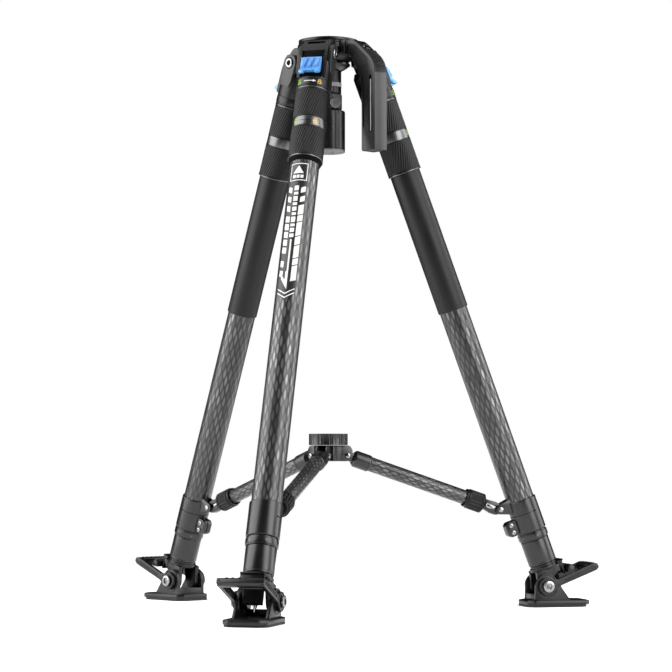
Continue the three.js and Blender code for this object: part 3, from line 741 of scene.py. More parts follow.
def outer_tube(name, place):
    """Carbon tube with the throat under the lower lock, darkened as painted shade, and the cover sleeve where
    a leg has one.
    """
    add = maker(name, place, "leg")
    tube = ring(TUBE.r - 1.8, TUBE.r, -TUBE.bottom - 40, -TUBE.top, bevel=0.1)
    add("carbon_tube", tube, CARBON, "outer_tube")
    # The throat is painted shade: a near-black skirt under the lower lock.
    skirt = [(20, -172.6), (21.4, -172.6), (23.2, -168.4), (23.2, -167.3), (20, -167.3)]
    throat_shade = lathe(softened(skirt, 0.5)) if name not in COVERED_LEGS else ring(19.9, 21.3, -168.9, -167.3)
    add("lock_throat", throat_shade, RECESS_SHADE)
    if name in COVERED_LEGS:
        profile = [
            (TUBE.r + 0.05, -COVER.bottom), (COVER.r - 0.5, -COVER.bottom),
            (COVER.r, -COVER.bottom + 0.8), (COVER.r, -COVER.top),
            (TUBE.r + 0.05, -COVER.top),
        ]
        sleeve = lathe(softened(profile, 0.4))
        add("cover_sleeve", sleeve, SLEEVE, "leg_cover")


def parallelogram(w0, w1, s0, s1, slant):
    """A slanted dash between two widths. A positive slant sets its right side lower."""
    return [(w0, s0), (w1, s0 + slant), (w1, s1 + slant), (w0, s1)]


def decal_shapes():
    """Plain printed shapes of (w, s) points: an outlined box, dashes, bars, an arrow and chevrons."""
    half = DECAL.half
    line = 1.1
    top, bottom = 179, 205
    shapes = [
        rectangle(-half, half, top, top + line),
        rectangle(-half, half, bottom - line, bottom),
        rectangle(-half, line - half, top, bottom),
        rectangle(half - line, half, top, bottom),
        [(-7.5, 194), (0, 182.4), (7.5, 194)],
        rectangle(-7.5, -3.4, 196.6, 201),
        rectangle(-2, 2, 196.6, 201),
        rectangle(3.4, 7.5, 196.6, 201),
    ]
    for s in (213, 227, 241):
        shapes.append(parallelogram(-half, -6.4, s, s + 8, 3))
    for s in (216, 230):
        shapes.append(parallelogram(6.4, half, s, s + 8, -3))
    s = 213
    for length in (7, 4, 7, 4, 6, 4, 8, 4, 6, 5):
        shapes.append(rectangle(-3, 3, s, s + length))
        s += length + 2.4
    for s in (257, 268.5, 280, 291.5, 303):
        shapes.append(parallelogram(-half, -5.4, s, s + 8.6, 2))
    for s in (323, 337):
        shapes.append(parallelogram(-half, -7, s, s + 8.6, 2))
    s = 243
    for length in (14, 9, 20, 12, 18, 9, 22):
        shapes.append(parallelogram(5.4, half, s, s + length, -3))
        s += length + 1.3
    shapes.append(rectangle(-1, 1.2, 293, 340))
    shapes.append([(-2.4, 340), (1.2, 340), (1.2, 366), (-8.5, 350), (-8.5, 345), (-2.4, 352)])
    for tip in (372.6, 378.4):
        upper, lower = tip - 9, tip - 7.5
        chevron_top = [(-half, upper), (0, tip - 1.1), (half, upper)]
        shapes.append(chevron_top + [(half, lower), (0, tip + 0.6), (-half, lower)])
    return shapes


def decal(place):
    """The front leg's printed decal: white shapes on a black ground."""
    ground = [(-13.6, 176.5), (13.6, 176.5), (13.6, 371), (0, 381), (-13.6, 371)]
    ink, around = DECAL.ink, DECAL.around
    sheet = on_cylinder(ground, TUBE.r, ink, around)
    piece("decal_ground", sheet, place, "leg_front", BLACK_INK, slot="carbon_tube")
    printed = [on_cylinder(outline, TUBE.r + ink, ink, around) for outline in decal_shapes()]
    piece("decal_print", joined(*printed), place, "leg_front", WHITE_INK, slot="carbon_tube")


def spreader_collar(name, place, pivot):
    """Clamp collar: a split ring, two ears for the spreader's fork, and a lug with two screws."""
    add = maker(name, place, "leg")
    top, bottom, r = COLLAR.top, COLLAR.bottom, COLLAR.r
    profile = [(0, -bottom), (r - 0.6, -bottom), (r, -bottom + 1), (r, -top - 1), (r - 0.7, -top), (0, -top)]
    wall = lathe(softened(profile, 0.4))
    ear_end = arc(pivot.x, pivot.z, CLEVIS.r, 105, 262, 16)
    ear_outline = [(-15, pivot.z + 10)] + ear_end + [(-15, pivot.z - 15)]
    ears = plates(ear_outline, CLEVIS.inner, CLEVIS.outer, bevel=0.8)
    lug_outline = [(-15, -684), (-32, -684), (-36, -688), (-36, -702), (-32, -706), (-15, -706)]
    lug = prism(softened(lug_outline, 1.6), -8, 8, bevel=1)
    solid = united(wall, ears, lug)
    bore = rod(TUBE.r + 0.02, -bottom - 1, -top + 2, bevel=0)
    split = block((-40, -15), (-0.8, 0.8), (-710, -679.5), bevel=0)
    slit = block((-30, 9), (-30, 30), (-680.1, -679.1), bevel=0)
    slit_end = turned(rod(1.3, 15, 30, bevel=0, sides=20), "X", 90)
    holes = [shifted(copied(slit_end), x=9, z=-679.6), shifted(turned(slit_end, "Z", 180), x=9, z=-679.6)]
    shape = carved(solid, bore, split, slit, *holes)
    add("collar_body", shape, BLACK, "spreader_collar")
    screws = []
    for s in (689.5, 700):
        screw = turned(socket_screw(3.1, 1.6, 1.5), "Z", 180)
        screws.append(shifted(screw, x=-28.2, y=-8, z=-s))
        screws.append(shifted(socket_screw(3.1, 1.6, 1.5), x=-28.2, y=8, z=-s))
    add("collar_screws", joined(*screws), CHROME)
    pin_head = along_y(rod(3.6, CLEVIS.outer, CLEVIS.outer + 1.1, bevel=0.4, sides=SMALL_SIDES))
    heads = shifted(both_ways(pin_head), x=pivot.x, z=pivot.z)
    add("collar_pin", heads, CHROME)


def inner_tubes(name, place):
    """The two inner sections, the stop ring and the ferrule under it."""
    middle = ring(16, MIDDLE_TUBE.r, -MIDDLE_TUBE.bottom, -MIDDLE_TUBE.top, bevel=0.2)
    top, bottom, r = STOP_RING.top, STOP_RING.bottom, STOP_RING.r
    profile = [
        (16.2, -bottom), (r - 1.2, -bottom), (r - 1.2, -bottom + 1.2), (r, -bottom + 1.6), (r, -top - 1.8),
        (r - 1.3, -top - 1.4), (r - 1.3, -top), (16.2, -top),
    ]
    stop = lathe(softened(profile, 0.3))
    shape = joined(middle, stop)
    add_to_middle = maker(name, place, "middle")
    add_to_middle("stop_ring", shape, BLACK, "middle_tube")
    dots = []
    for angle in range(30, 390, 60):
        dot = along_x(rod(1.1, r - 0.2, r + 0.15, bevel=0.15, sides=20))
        dots.append(turned(shifted(dot, z=-714), "Z", angle))
    add_to_middle("stop_pins", joined(*dots), SILVER, slot="black_metal")

    top, bottom, r = FERRULE.top, FERRULE.bottom, FERRULE.r
    lower = ring(13.8, LOWER_TUBE.r, -LOWER_TUBE.bottom, -LOWER_TUBE.top, bevel=0.2)
    profile = [
        (0, -bottom), (r - 0.8, -bottom), (r, -bottom + 0.8), (r, -bottom + 2.4),
        (r - 0.25, -bottom + 2.7), (r - 0.25, -bottom + 3.1), (r, -bottom + 3.4), (r, -top - 0.8),
        (r - 0.6, -top), (0, -top),
    ]
    ferrule = lathe(softened(profile, 0.2, 2))
    shape = joined(lower, ferrule)
    add_to_lower = maker(name, place, "lower")
    add_to_lower("ferrule", shape, BLACK, "lower_tube")


def ankle(name, place, pivot):
    """End cap with its latch lip, the yoke down to the foot bolt, a near-black sheet of painted shade between
    its plates, and the spike.
    """
    add = maker(name, place, "lower")
    top, bottom, r = END_CAP.top, END_CAP.bottom, END_CAP.r
    profile = [
        (0, -bottom), (r - 2, -bottom), (r, -bottom + 2), (r, -top - 3.2), (r - 1.6, -top - 2.6),
        (r - 1.6, -top), (0, -top),
    ]
    cap = lathe(softened(profile, 0.4))
    yoke_outline = (
        [(18.4, -bottom + 3), (-19, -bottom + 3), (-19.6, -bottom - 3)]
        + arc(pivot.x, pivot.z, YOKE.r, 176, 352, 24)
        + [(5, -777), (14, -772)]
    )
    yoke = plates(softened(yoke_outline, 1.2, 2), YOKE.inner, YOKE.outer, bevel=1.2, segments=3)
    shape = united(cap, yoke)
    add("ankle_yoke", shape, CAST, "spike_head")
    lip_outline = [
        (15, -759.6), (23.2, -759.6), (24.8, -758.6), (25.2, -760.4), (23, -762.4), (23, -777),
        (21.6, -781), (19.8, -780), (19.8, -768), (16.5, -765.4),
    ]
    lip = prism(softened(lip_outline, 0.5, 2), -16.5, 16.5, bevel=0.9)
    add("latch_lip", lip, CAST)
    half = YOKE.inner + 0.2
    # Painted shade: a near-black sheet fills the gap between the yoke's plates, where the ears and pad lie in
    # shadow.
    gap_shade = prism(softened([(6.5, -764), (14, -764), (11, -796), (6.5, -798)], 0.8), -half, half, bevel=0.6)
    add("ankle_web", gap_shade, RECESS_SHADE)
    socket_profile = [(0, -792), (4.2, -792), (4.6, -789), (4.6, -766), (0, -766)]
    socket = lathe(softened(socket_profile, 0.4), SMALL_SIDES)
    add("spike_socket", socket, BLACK)
    spike = [(0, -805.8), (0.5, -805.5), (3.8, -794.6), (3.9, -791), (3.4, -790), (0, -790)]
    add("spike", lathe(softened(spike, 0.25, 2), SMALL_SIDES), CHROME)


# ---------------------------------------------------------------- foot
def rounded_slab(low, high, inset=0.0, cut_end=0.0, bevel=0.5):
    """The pad between two heights, with clipped and rounded corners and its outer end cut short."""
    x0 = PAD.centre - PAD.length / 2 + inset
    x1 = PAD.centre + PAD.length / 2 - inset - cut_end
    half = PAD.width / 2 - inset
    clip = PAD.corner
    outline = [
        (x0 + clip, -half), (x1 - clip, -half), (x1, clip - half), (x1, half - clip), (x1 - clip, half),
        (x0 + clip, half), (x0, half - clip), (x0, clip - half),
    ]
    return upright(prism(softened(outline, 2.5, 4), low, high, bevel=bevel))


def foot(name, place):
    """Rubber sole, pad plate, the two round ears that hold the foot bolt, and a low wall between them."""
    add = maker(name, place, "foot")
    soles = rounded_slab(GROUND, GROUND + 3.2, cut_end=4.5, bevel=0.6)
    add("sole", soles, RUBBER, "foot_sole")
    slab = rounded_slab(GROUND + 3.1, GROUND + 9.3, bevel=1.1)
    step = rounded_slab(GROUND + 9.2, GROUND + 9.9, inset=2.6, bevel=0.3)
    r, inner, outer = FOOT_EAR.r, FOOT_EAR.inner, FOOT_EAR.outer
    outline = [(-18, -20.5), (-17.4, -18.8)] + arc(0, 0, r, 184, 34, 30) + [(34, -18.2), (35, -20.5)]
    ears = plates(softened(outline, 1, 2), inner, outer, bevel=0.8)
    rims = eyes(r - 1.9, r, outer - 0.2, outer + 0.7, bevel=0.3)
    wall = block((-17, -13.6), (-20.5, 20.5), (-21, -11), bevel=0.8)
    shape = joined(slab, step, ears, rims, wall)
    add("foot_plate", shape, CAST, "foot_base")


def lever_side(low, high):
    """One arm of the pedal: grooved on its outer face, with a raised line above the groove."""
    side = softened(LEVER_SIDE, 2.2, 4)
    groove = softened([(22, 10), (66, 28.8), (71, 28.6), (70, 25.6), (24, 6.2)], 1.2)
    rib = softened([(25, 9.3), (67.4, 27.3), (67.8, 26.3), (25.4, 8.2)], 0.4)
    outer, depth = (high, 0.9) if high > 0 else (low, -0.9)
    arm = prism(side, low, high, bevel=1.1, segments=3)
    cutter = prism(groove, min(outer - depth, outer + depth), max(outer - depth, outer + depth), bevel=0)
    raised = prism(rib, min(outer, outer - 1.4 * depth), max(outer, outer - 1.4 * depth), bevel=0.2)
    return joined(carved(arm, cutter), raised)


def foot_lever(name, place):
    """Pedal: two discs on the bolt, two grooved side arms, an end bar and a hook bar."""
    inner, outer = LEVER.inner, LEVER.outer
    grooves = eyes(9.6, 10.7, outer - 0.8, outer + 1.6, bevel=0)
    discs = carved(eyes(4.2, 12.9, inner, outer + 0.2, bevel=1.1), grooves)
    sides = joined(lever_side(inner, outer), lever_side(-outer, -inner))
    end_outline = [(63.5, 31.1), (68, 32.8), (73.4, 32.4), (76.2, 27), (72.2, 22.6), (66, 20)]
    end = prism(softened(end_outline, 1.6, 3), -31, 31, 1.1)
    ribs = [block((64.4, 72.4), (y - 1.4, y + 1.4), (31.6, 33.2), bevel=0.5) for y in range(-20, 21, 8)]
    hook = prism(softened([(31.4, 19.4), (41, 21), (41.4, 28), (34, 30.8), (31, 26)], 1, 2), -26, 26, 0.8)
    teeth = [block((33, 40.4), (y - 0.7, y + 0.7), (27.4, 31), bevel=0.3) for y in range(-21, 22, 3)]
    add_to_foot_lever = maker(name, place, "foot_lever")
    shape = joined(sides, end, hook, discs, *ribs, *teeth)
    add_to_foot_lever("pedal", shape, CAST, "foot_lever")
    face = outer + 0.6
    bolt = socket_screw(8.1, 3.4, 4.8, low=face)
    shank = along_y(rod(3.9, YOKE.inner + 0.2, face + 0.2, bevel=0.2, sides=SMALL_SIDES))
    heads = both_ways(joined(bolt, shank))
    add_to_lower = maker(name, place, "lower")
    add_to_lower("pedal_bolt", heads, CHROME, "foot_bolt")
    core = along_y(rod(4.1, face + 0.6, face + 2.2, bevel=0.2, sides=6))
    add_to_lower("pedal_bolt_core", both_ways(core), SILVER)


# ---------------------------------------------------------------- spreader
def spreader_arm(name):
    """Arm tube with its hub tongue and pin, the lock at its end, and the fork with its inner rod."""
    hub_end = arm_frame(name, "arm_swing")
    collar_end = arm_frame(name, "fork_swing")
    add_to_arm = maker(name, hub_end, "arm")
    half, r = TONGUE.half, TONGUE.r
    tongue_outline = [(11, r)] + arc(0, 0, r, 90, 270, 20) + [(11, -r)]
    tongue = prism(tongue_outline, -half, half, bevel=0.8)
    profile = [(0, 9.5), (8.6, 9.5), (11.75, 12.5), (11.75, 33.2), (11, SLEEVE_END), (0, SLEEVE_END)]
    sleeve = along_x(lathe(softened(profile, 0.5)))
    groove = along_x(ring(11.3, 13, 31, 31.8, bevel=0, sides=SIDES))
    shape = joined(tongue, carved(sleeve, groove))
    add_to_arm("arm_sleeve", shape, BLACK, "arm_tube")
    start, end = ARM_TUBE.start, ARM_TUBE.end
    tube = along_x(ring(ARM_TUBE.bore, ARM_TUBE.r, start, end, bevel=0.2, sides=64))
    add_to_arm("arm_carbon_tube", tube, ARM_CARBON)
    pin = along_y(rod(2.5, -9.6, 9.6, bevel=0.2, sides=SMALL_SIDES))
    head = along_y(lathe([(0, 9), (3.9, 9), (3.9, 9.8), (3.3, 10.9), (1.9, 11.5), (0, 11.6)], SMALL_SIDES))
    recess = along_y(rod(1.3, 10.6, 13, bevel=0, sides=6))
    head = carved(head, recess)
    add_to_arm("hub_pin", joined(pin, both_ways(head)), CHROME)

    near, far, r = ARM_LOCK.near, ARM_LOCK.far, ARM_LOCK.r
    shell = fluted(r, near, far, ARM_LOCK.grooves, 1.3, rows=2, per_groove=10, end=2.2)
    cone = lathe(softened([(0, 24.9), (10.4, 24.9), (13.4, 27.6), (13.4, 29), (0, 29)], 0.5))
    cuff = lathe(softened([(0, 49), (13.2, 49), (13.2, 50.6), (12.9, 51.4), (12.9, 54), (0, 54)], 0.2))
    bore = rod(ARM_LOCK.bore, near + 2, far + 10, bevel=0)
    rod_hole = rod(ARM_ROD.r + 0.6, near - 7, far - 10, bevel=0)
    grip = carved(united(shell, cone, cuff), bore, rod_hole)
    grip = turned(grip, "Y", -90)
    add_to_arm_lock = maker(name, collar_end, "arm_lock")
    add_to_arm_lock("arm_grip", grip, KNURL, "arm_lock")

    outline = (
        [(-24.6, 7.6), (-9, 8.4)] + arc(0, 0, 6.6, 70, -70, 14) + [(-4, -9.2), (-12, -9.4), (-24.6, -6.6)]
    )
    plate = prism(softened(outline, 0.8, 2), -half, half, bevel=0.9)
    slot = prism(arc(-5.6, 0, 3, -90, 90, 10) + arc(-18.6, 0, 3, 90, 270, 10), -7, 7, bevel=0)
    inner_rod = rod(ARM_ROD.r, ARM_ROD.start, ARM_ROD.end, bevel=0.4, sides=SMALL_SIDES)
    rod_shape = turned(inner_rod, "Y", -90)
    shape = joined(carved(plate, slot), rod_shape)
    add_to_fork = maker(name, collar_end, "fork")
    add_to_fork("fork_plate", shape, BLACK, "arm_fork")
    insert_outline = arc(-6.2, -0.4, 2.3, -90, 90, 8) + arc(-16.4, 0.3, 1.9, 90, 270, 8)
    insert = prism(softened(insert_outline, 0.2, 1), -4.4, 4.4, bevel=0.7)
    pivot_pin = along_y(rod(2.5, -9, 9, bevel=0.2, sides=SMALL_SIDES))
    insert = joined(insert, pivot_pin)
    add_to_fork("fork_insert", insert, CHROME, slot="black_metal")


def spreader_hub():
    """Round block with three pairs of clevis ears and flat facets between them."""
    bottom, top = HUB.bottom, HUB.top
    parts = [rod(HUB.r, bottom, top, bevel=0.8)]
    ear = (
        [(10, bottom), (24, bottom)]
        + arc(HUB.pivot_x, HUB.pivot_z, CLEVIS.r, -78, 0, 12)
        + [(33, 222.4), (30, 227.4), (27.5, top), (10, top)]
    )
    for name in LEG_NAMES:
        ears = plates(softened(ear, 0.6, 2), CLEVIS.inner, CLEVIS.outer, bevel=0.7)
        parts.append(turned(ears, "Z", LEG_AZIMUTHS[name]))
    for azimuth in (-30, 90, 210):
        facet = block((12, 18.6), (-8.4, 8.4), (bottom + 0.4, top - 0.4), bevel=1)
        parts.append(turned(facet, "Z", azimuth))
    piece("hub_block", joined(*parts), axis_frame(), "spreader_hub", BLACK, "spreader_hub")


def hub_knob():
    """Round knob with wide ribs between narrow grooves, and fine flutes on the ribs."""
    low, high, r = KNOB.bottom, KNOB.top, KNOB.r
    body = fluted(r - 0.2, low, high, KNOB.grooves * 4, 0.35, rows=1, per_groove=6, end=1, phase=0.07)
    cutters = []
    for i in range(KNOB.grooves):
        groove = rod(2.3, low - 1, high + 1, bevel=0, sides=16)
        cutters.append(turned(shifted(groove, x=r + 0.5), "Z", KNOB.first + 360 * i / KNOB.grooves))
    dish = lathe(softened([(0, high - 1.2), (19, high - 1.2), (21, high + 1), (0, high + 1)], 0.2))
    knob = carved(body, joined(*cutters), dish)
    piece("knob_grip", knob, axis_frame(), "hub_knob", BLACK, "hub_knob")
    cap_top = high - 0.1
    cap_profile = [(0, high - 1.6), (9, high - 1.6), (9, high - 0.4), (8, cap_top), (0, cap_top)]
    cap = lathe(softened(cap_profile, 0.3))
    piece("knob_cap", cap, axis_frame(), "hub_knob", GREY)


# ---------------------------------------------------------------- head
def sphere_arc(r, start, end, steps=16):
    """Points on a circle round the half-ball's centre."""
    return arc(0, BALL.centre, r, start, end, steps)


def polar(r, radius):
    """The angle in degrees, below the horizon, of the sphere's circle of that radius."""
    return math.degrees(math.asin(radius / r)) - 90


def crown():
    """Bowl with a stepped rim, three hinge lugs, the facets between them and a boss for the handle."""
    inner_r, outer_r, hole = BOWL.inner, BOWL.outer, BOWL.hole
    outer = [
        (34, RIM.top - 12), (38.4, RIM.bottom - 9), (38.4, RIM.bottom - 2.4),
        (39.4, RIM.bottom - 1.6), (39.4, RIM.bottom), (RIM.r, RIM.bottom + 0.4),
        (RIM.r, RIM.top), (inner_r, RIM.top),
    ]
    bowl = (
        sphere_arc(outer_r, polar(outer_r, hole), -28, 16)
        + softened(outer, 0.4, 2)[1:]
        + sphere_arc(inner_r, 0, polar(inner_r, hole), 20)
    )
    shell = lathe(bowl)
    above = RIM.top + 12.5
    ball_space = [(0, BALL.centre - inner_r)] + sphere_arc(inner_r, -88, 0, 24)
    inside = lathe(ball_space + [(inner_r, above), (0, above)])
    lug = (
        [(31, 793.6), (50, 793.4), (55, 790.6), (60.6, 784.6)]
        + arc(54, 772, 11, 56, -128, 24)
        + [(38, 767.2), (37.6, 773.5), (31, 779)]
    )
    lugs = []
    for name in LEG_NAMES:
        body = prism(softened(lug, 0.8, 2), -19.5, 19.5, bevel=1.6, segments=3)
        window = block((48.5, 66), (-13, 13), (781.5, 790), bevel=0.5)
        lugs.append(turned(carved(body, window), "Z", LEG_AZIMUTHS[name]))
    facets = []
    for azimuth in (90, 210):
        wall = softened([(30, 794.6), (41.2, 794.6), (41.2, 781), (38, 776), (30, 780)], 1)
        facets.append(turned(prism(wall, -15, 15, bevel=1.4), "Z", azimuth))
    boss = softened([(30, 794.6), (46, 794.6), (46, 774), (38.5, 773.6), (30, 779)], 1)
    boss = prism(boss, -13.5, 13.5, bevel=1.2)
    facets.append(turned(boss, "Z", HANDLE.azimuth))
    shape = joined(shell, carved(joined(*lugs, *facets), inside))
    piece("crown_casting", shape, axis_frame(), "crown", CAST, "crown")


def levelling_head():
    """Clamp cup under the bowl, half-ball adapter with its stud, and the stem with the grip below."""
    inner_r, outer_r, hole = CUP.inner, CUP.outer, CUP.hole
    cup = sphere_arc(outer_r, polar(outer_r, hole), -50, 16)
    lip = [(30.6, 763.6), (30.6, 766.2), (28, 766.6)]
    inner = sphere_arc(inner_r, -50, polar(inner_r, hole), 16)
    shape = lathe(softened(cup, 0.1, 1) + softened(lip, 0.3, 2) + softened(inner, 0.1, 1))
    piece("levelling_cup", shape, axis_frame(), "clamp_cup", BLACK, "clamp_cup")

    flat, top, r = BALL.flat, BALL.top, BALL.r
    flat_r = math.sqrt(r ** 2 - (BALL.centre - flat) ** 2)
    stud = [(4.75, 804.2), (4.2, 804.6), (1.5, 804.6), (1.5, 806.6), (1.1, 807), (0, 807)]
    ball = (
        [(0, flat - 1), (flat_r, flat)]
        + sphere_arc(r, polar(r, flat_r), 0, 24)[1:]
        + [(36.9, top), (30, top), (29.4, top - 0.5), (14, top - 0.5), (13.6, top), (4.75, top)]
        + stud
    )
    shaft = rod(6, 734, flat, bevel=0.4, sides=SMALL_SIDES)
    shape = joined(lathe(ball), shaft)
    piece("half_ball", shape, axis_frame(), "bowl_adapter", BLACK, "bowl_adapter")
    ring_on_top = ring(22, 24, top - 0.5, top - 0.05, bevel=0.1)
    piece("half_ball_grip_ring", ring_on_top, axis_frame(), "bowl_adapter", RUBBER)

    grip = [
        (0, GRIP.bottom), (GRIP.r - 0.3, GRIP.bottom), (GRIP.r, GRIP.bottom + 0.8),
        (GRIP.r, GRIP.top), (22.6, 699.4), (16.5, 699.4), (16.5, 723), (STEM.r, 724.5),
        (STEM.r, 732.8), (17.4, 733.4), (17.4, 739.2), (STEM.r, 739.8),
    ]
    dish = sphere_arc(STEM.dish, polar(STEM.dish, STEM.r), polar(STEM.dish, STEM.bore), 8)
    body = lathe(softened(grip, 0.3, 2) + dish + [(STEM.bore, 740), (0, 740)])
    corners = [math.radians(angle) for angle in range(0, 360, 60)]
    block_outline = softened([(21.5 * math.cos(a), 21.5 * math.sin(a)) for a in corners], 2.5)
    nut = turned(upright(prism(block_outline, 700, 722.4, bevel=1.6)), "Z", -10)
    piece("grip_body", joined(body, nut), axis_frame(), "level_grip", BLACK, "level_grip")
    cap = lathe(softened([(0, 640.6), (22.4, 640.6), (23.5, 641.6), (23.5, 644.2), (0, 644.2)], 0.4))
    cap_groove = ring(8, 9, 639, 641.4, bevel=0)
    piece("grip_cap", carved(cap, cap_groove), axis_frame(), "level_grip", SATIN)
    band = ring(17, 18.7, 733.4, 739.2, bevel=0.4)
    piece("stem_band", band, axis_frame(), "level_grip", PALE)
    wheel = fluted(7.6, 20, 24, 20, 0.5, rows=1, per_groove=6, end=0.8)
    hub = ring(3, 5.2, 23.4, 24.6, bevel=0.4, sides=SMALL_SIDES)
    # The wheel's seat is painted shade: a near-black disc in the gap behind the wheel.
    seat = rod(8.6, 17, 20.4, bevel=0.4, sides=SMALL_SIDES)
    wheel_parts = (("grip_wheel", joined(wheel, hub), SATIN), ("grip_wheel_seat_shade", seat, RECESS_SHADE))
    for title, shape, material in wheel_parts:
        shape = shifted(turned(along_y(shape), "Z", 180), x=WHEEL.x, z=WHEEL.height)
        piece(title, turned(shape, "Z", WHEEL.azimuth), axis_frame(), "level_grip", material)


def stations(line, step):
    """Points every step along the line of (x, z) points, with the line's slope there in degrees."""
    found = []
    rest = 0.0
    for (x0, z0), (x1, z1) in zip(line, line[1:]):
        length = math.hypot(x1 - x0, z1 - z0)
        while rest < length:
            share = rest / length
            slope = math.degrees(math.atan2(z0 - z1, x1 - x0))
            found.append((x0 + (x1 - x0) * share, z0 + (z1 - z0) * share, slope))
            rest += step
        rest -= length
    return found


def carry_handle():
    """Grip bar bolted to the crown, with a slot through it, recessed sides and a ribbed outer face; pale
    strips in the slot are painted highlights, a grey plate on the outer face is a painted reflection, and the
    bolt's dark core is painted shade.
    """
    half = HANDLE.half
    outline = [
        (42, 793.6), (62, 792.6), (71, 786.4), (95.4, 766), (102, 757.6), (105, 747.6), (105, 637),
        (103, 635), (79.6, 635), (78, 637), (78, 728.7), (73.6, 742), (64.2, 758), (57, 768), (46, 773.4),
        (42, 773.4),
    ]
    bar = prism(softened(outline, 3, 5), -half, half, bevel=1.3, segments=3)
    x, top, bottom, r = HANDLE_SLOT.x, HANDLE_SLOT.top, HANDLE_SLOT.bottom, HANDLE_SLOT.r
    slot_outline = arc(x, top, r, 0, 180, 10) + arc(x, bottom, r, 180, 360, 10)
    slot = prism(slot_outline, -half - 1, half + 1, bevel=0)
    panel = [(50, 787), (66, 785), (88, 766), (91, 757), (91.4, 668)]
    panel += [(81, 668), (81, 730), (76, 744), (66, 762), (50, 778)]
    panel = softened(panel, 2.5)
    panels = [prism(panel, half - 1.1, half + 1, bevel=0), prism(panel, -half - 1, 1.1 - half, bevel=0)]
    place = axis_frame(HANDLE.azimuth)
    piece("carry_bar", carved(bar, slot, *panels), place, "crown", CAST, "carry_handle")
    # Painted highlight: pale strips inside the slot stand for the bright line along its edge.
    slot_highlights = []
    for low in (half - 2.4, 0.8 - half):
        slot_highlights.append(block((x - 1, x + 1), (low, low + 1.6), (bottom - 0.5, top - 4), bevel=0.2))
    piece("carry_bar_slot_highlights", joined(*slot_highlights), place, "crown", PALE)
    # Painted reflection: a grey plate on the outer face stands for the softbox reflected there.
    face = prism(softened(rectangle(103.6, 105.5, 636, 742.6), 0.5, 2), 0.2 - half, half - 0.2, bevel=0.5)
    piece("carry_bar_face_reflection", face, place, "crown", GREY)
    ribs = []
    for x, z, slope in stations(HANDLE_BACK, 2.3):
        rib = block((-0.7, 0.7), (1.2 - half, half - 1.2), (-1, 0.9), bevel=0.3, corner=0.4)
        ribs.append(shifted(turned(rib, "Y", slope), x=x, z=z))
    piece("carry_bar_ribs", joined(*ribs), place, "crown", KNURL, slot="black_metal")
    button = shifted(turned(rod(3, 0, 1.8, bevel=0.6, sides=SMALL_SIDES), "Y", -90), x=78.2, z=709)
    piece("carry_bar_screw", button, place, "crown", BLACK)
    seat = turned(ring(4.4, 5.6, -0.4, 0.9, bevel=0.3), "Y", 40)
    # The bolt's core is painted shade: a near-black disc inside the chrome seat ring.
    core = turned(rod(4.3, -0.4, 0.6, bevel=0.2, sides=SMALL_SIDES), "Y", 40)
    piece("carry_bar_bolt_ring", shifted(seat, x=77, z=782), place, "crown", CHROME)
    piece("carry_bar_bolt_socket_shade", shifted(core, x=77, z=782), place, "crown", RECESS_SHADE, slot="chrome")


# ---------------------------------------------------------------- studio
CAMERA_PLACE = (0.963, -3.263, 0.215)  # metres from the tripod's axis
CAMERA_PITCH = 2.817  # degrees up
CAMERA_YAW = 0.181  # degrees to the right of the axis
LENS = 129.95  # millimetres, for the sensor below
SENSOR = 36
FLOOR_R = 1.7
LIT_HEIGHT = 0.4  # where the softboxes point
OVERHEAD = Sizes(height=2.6, size=2.0, brightness=1.2)
# Softboxes: heading in degrees to the right of the camera; distance, height, width and tallness in metres;
# brightness
SOFTBOXES = {
    "left": (-80, 2.0, 1.3, 2.5, 2.9, 4.4),
    "right_front": (50, 2.6, 1.4, 1.7, 2.9, 5.5),
    "right_back": (102, 2.4, 1.3, 1.4, 2.9, 4.0),
}


def camera():
    """A long-lens camera, low in front of the tripod and a little to its right."""
    data = bpy.data.cameras.new("camera")
    data.lens = LENS
    data.sensor_width = SENSOR
    data.clip_end = 100
    thing = new_object("camera", data)
    thing.location = AXIS + Vector(CAMERA_PLACE)
    heading = math.atan2(CAMERA_PLACE[0], -CAMERA_PLACE[1]) - math.radians(CAMERA_YAW)
    thing.rotation_euler = (math.radians(90 + CAMERA_PITCH), 0, heading)
    bpy.context.scene.camera = thing


def softbox(name, place, width, tallness, brightness):
    """A rectangular light that faces the middle of the tripod."""
    data = bpy.data.lights.new(name, "AREA")
    data.shape = "RECTANGLE"
    data.size = width
    data.size_y = tallness
    data.energy = brightness * math.pi * width * tallness
    thing = new_object(name, data)
    thing.location = place
    middle = AXIS + Vector((0, 0, LIT_HEIGHT))
    thing.rotation_euler = (middle - Vector(place)).to_track_quat("-Z", "Y").to_euler()
    thing.visible_camera = False


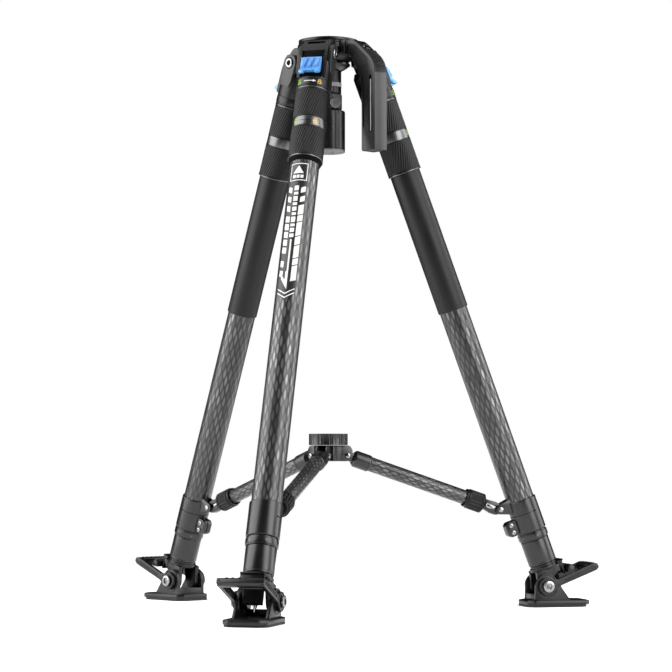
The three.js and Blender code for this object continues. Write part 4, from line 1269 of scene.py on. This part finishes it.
def lights():
    facing = math.atan2(CAMERA_PLACE[1], CAMERA_PLACE[0])
    for name, (heading, distance, height, width, tallness, brightness) in SOFTBOXES.items():
        turn = facing + math.radians(heading)
        place = AXIS + Vector((distance * math.cos(turn), distance * math.sin(turn), height))
        softbox(name, place, width, tallness, brightness)
    above = AXIS + Vector((0, 0, OVERHEAD.height))
    softbox("overhead", above, OVERHEAD.size, OVERHEAD.size, OVERHEAD.brightness)


def backdrop():
    """White surroundings that only the camera sees, so that they cast no light on the tripod."""
    world = bpy.data.worlds.new("studio")
    bpy.context.scene.world = world
    world.use_nodes = True
    background = world.node_tree.nodes["Background"]
    background.inputs["Color"].default_value = (1, 1, 1, 1)
    background.inputs["Strength"].default_value = 1.0
    world.cycles_visibility.diffuse = False
    world.cycles_visibility.glossy = False
    bpy.context.scene.view_settings.view_transform = "Standard"


def floor():
    """A pale paper disc under the feet."""
    nodes = Nodes("floor_paper")
    tone = nodes.noise(3, 3)
    nodes.set(base_color=nodes.mix(tone, (0.9, 0.9, 0.9), (0.93, 0.93, 0.93)), roughness=0.8, metallic=0.0)
    nodes.set(emission_color=nodes.mix(tone, (0.95, 0.95, 0.95), (1, 1, 1)), emission_strength=0.4)
    bm = bmesh.new()
    bmesh.ops.create_circle(bm, cap_ends=True, segments=SIDES, radius=FLOOR_R)
    mesh = bpy.data.meshes.new("floor")
    bm.to_mesh(mesh)
    bm.free()
    mesh.materials.append(nodes.material)
    thing = new_object("floor", mesh)


# ---------------------------------------------------------------- assembly
def leg(name):
    place = leg_frame(name)
    into_leg = place.inverted()
    collar_pivot = into_leg @ Vector(joints[f"fork_swing_{name}"]["pos_m"]) / MM
    foot_pivot = into_leg @ Vector(joints[f"foot_swivel_{name}"]["pos_m"]) / MM
    leg_casting(name, place)
    hinge_bolt(name, place)
    angle_tab(name, place)
    lock_stack(name, place)
    outer_tube(name, place)
    spreader_collar(name, place, collar_pivot)
    inner_tubes(name, place)
    ankle(name, place, foot_pivot)
    foot(name, foot_frame(name))
    foot_lever(name, foot_frame(name))
    spreader_arm(name)


for leg_name in LEG_NAMES:
    leg(leg_name)
decal(leg_frame("front"))
spreader_hub()
hub_knob()
crown()
levelling_head()
carry_handle()
camera()
lights()
backdrop()
floor()
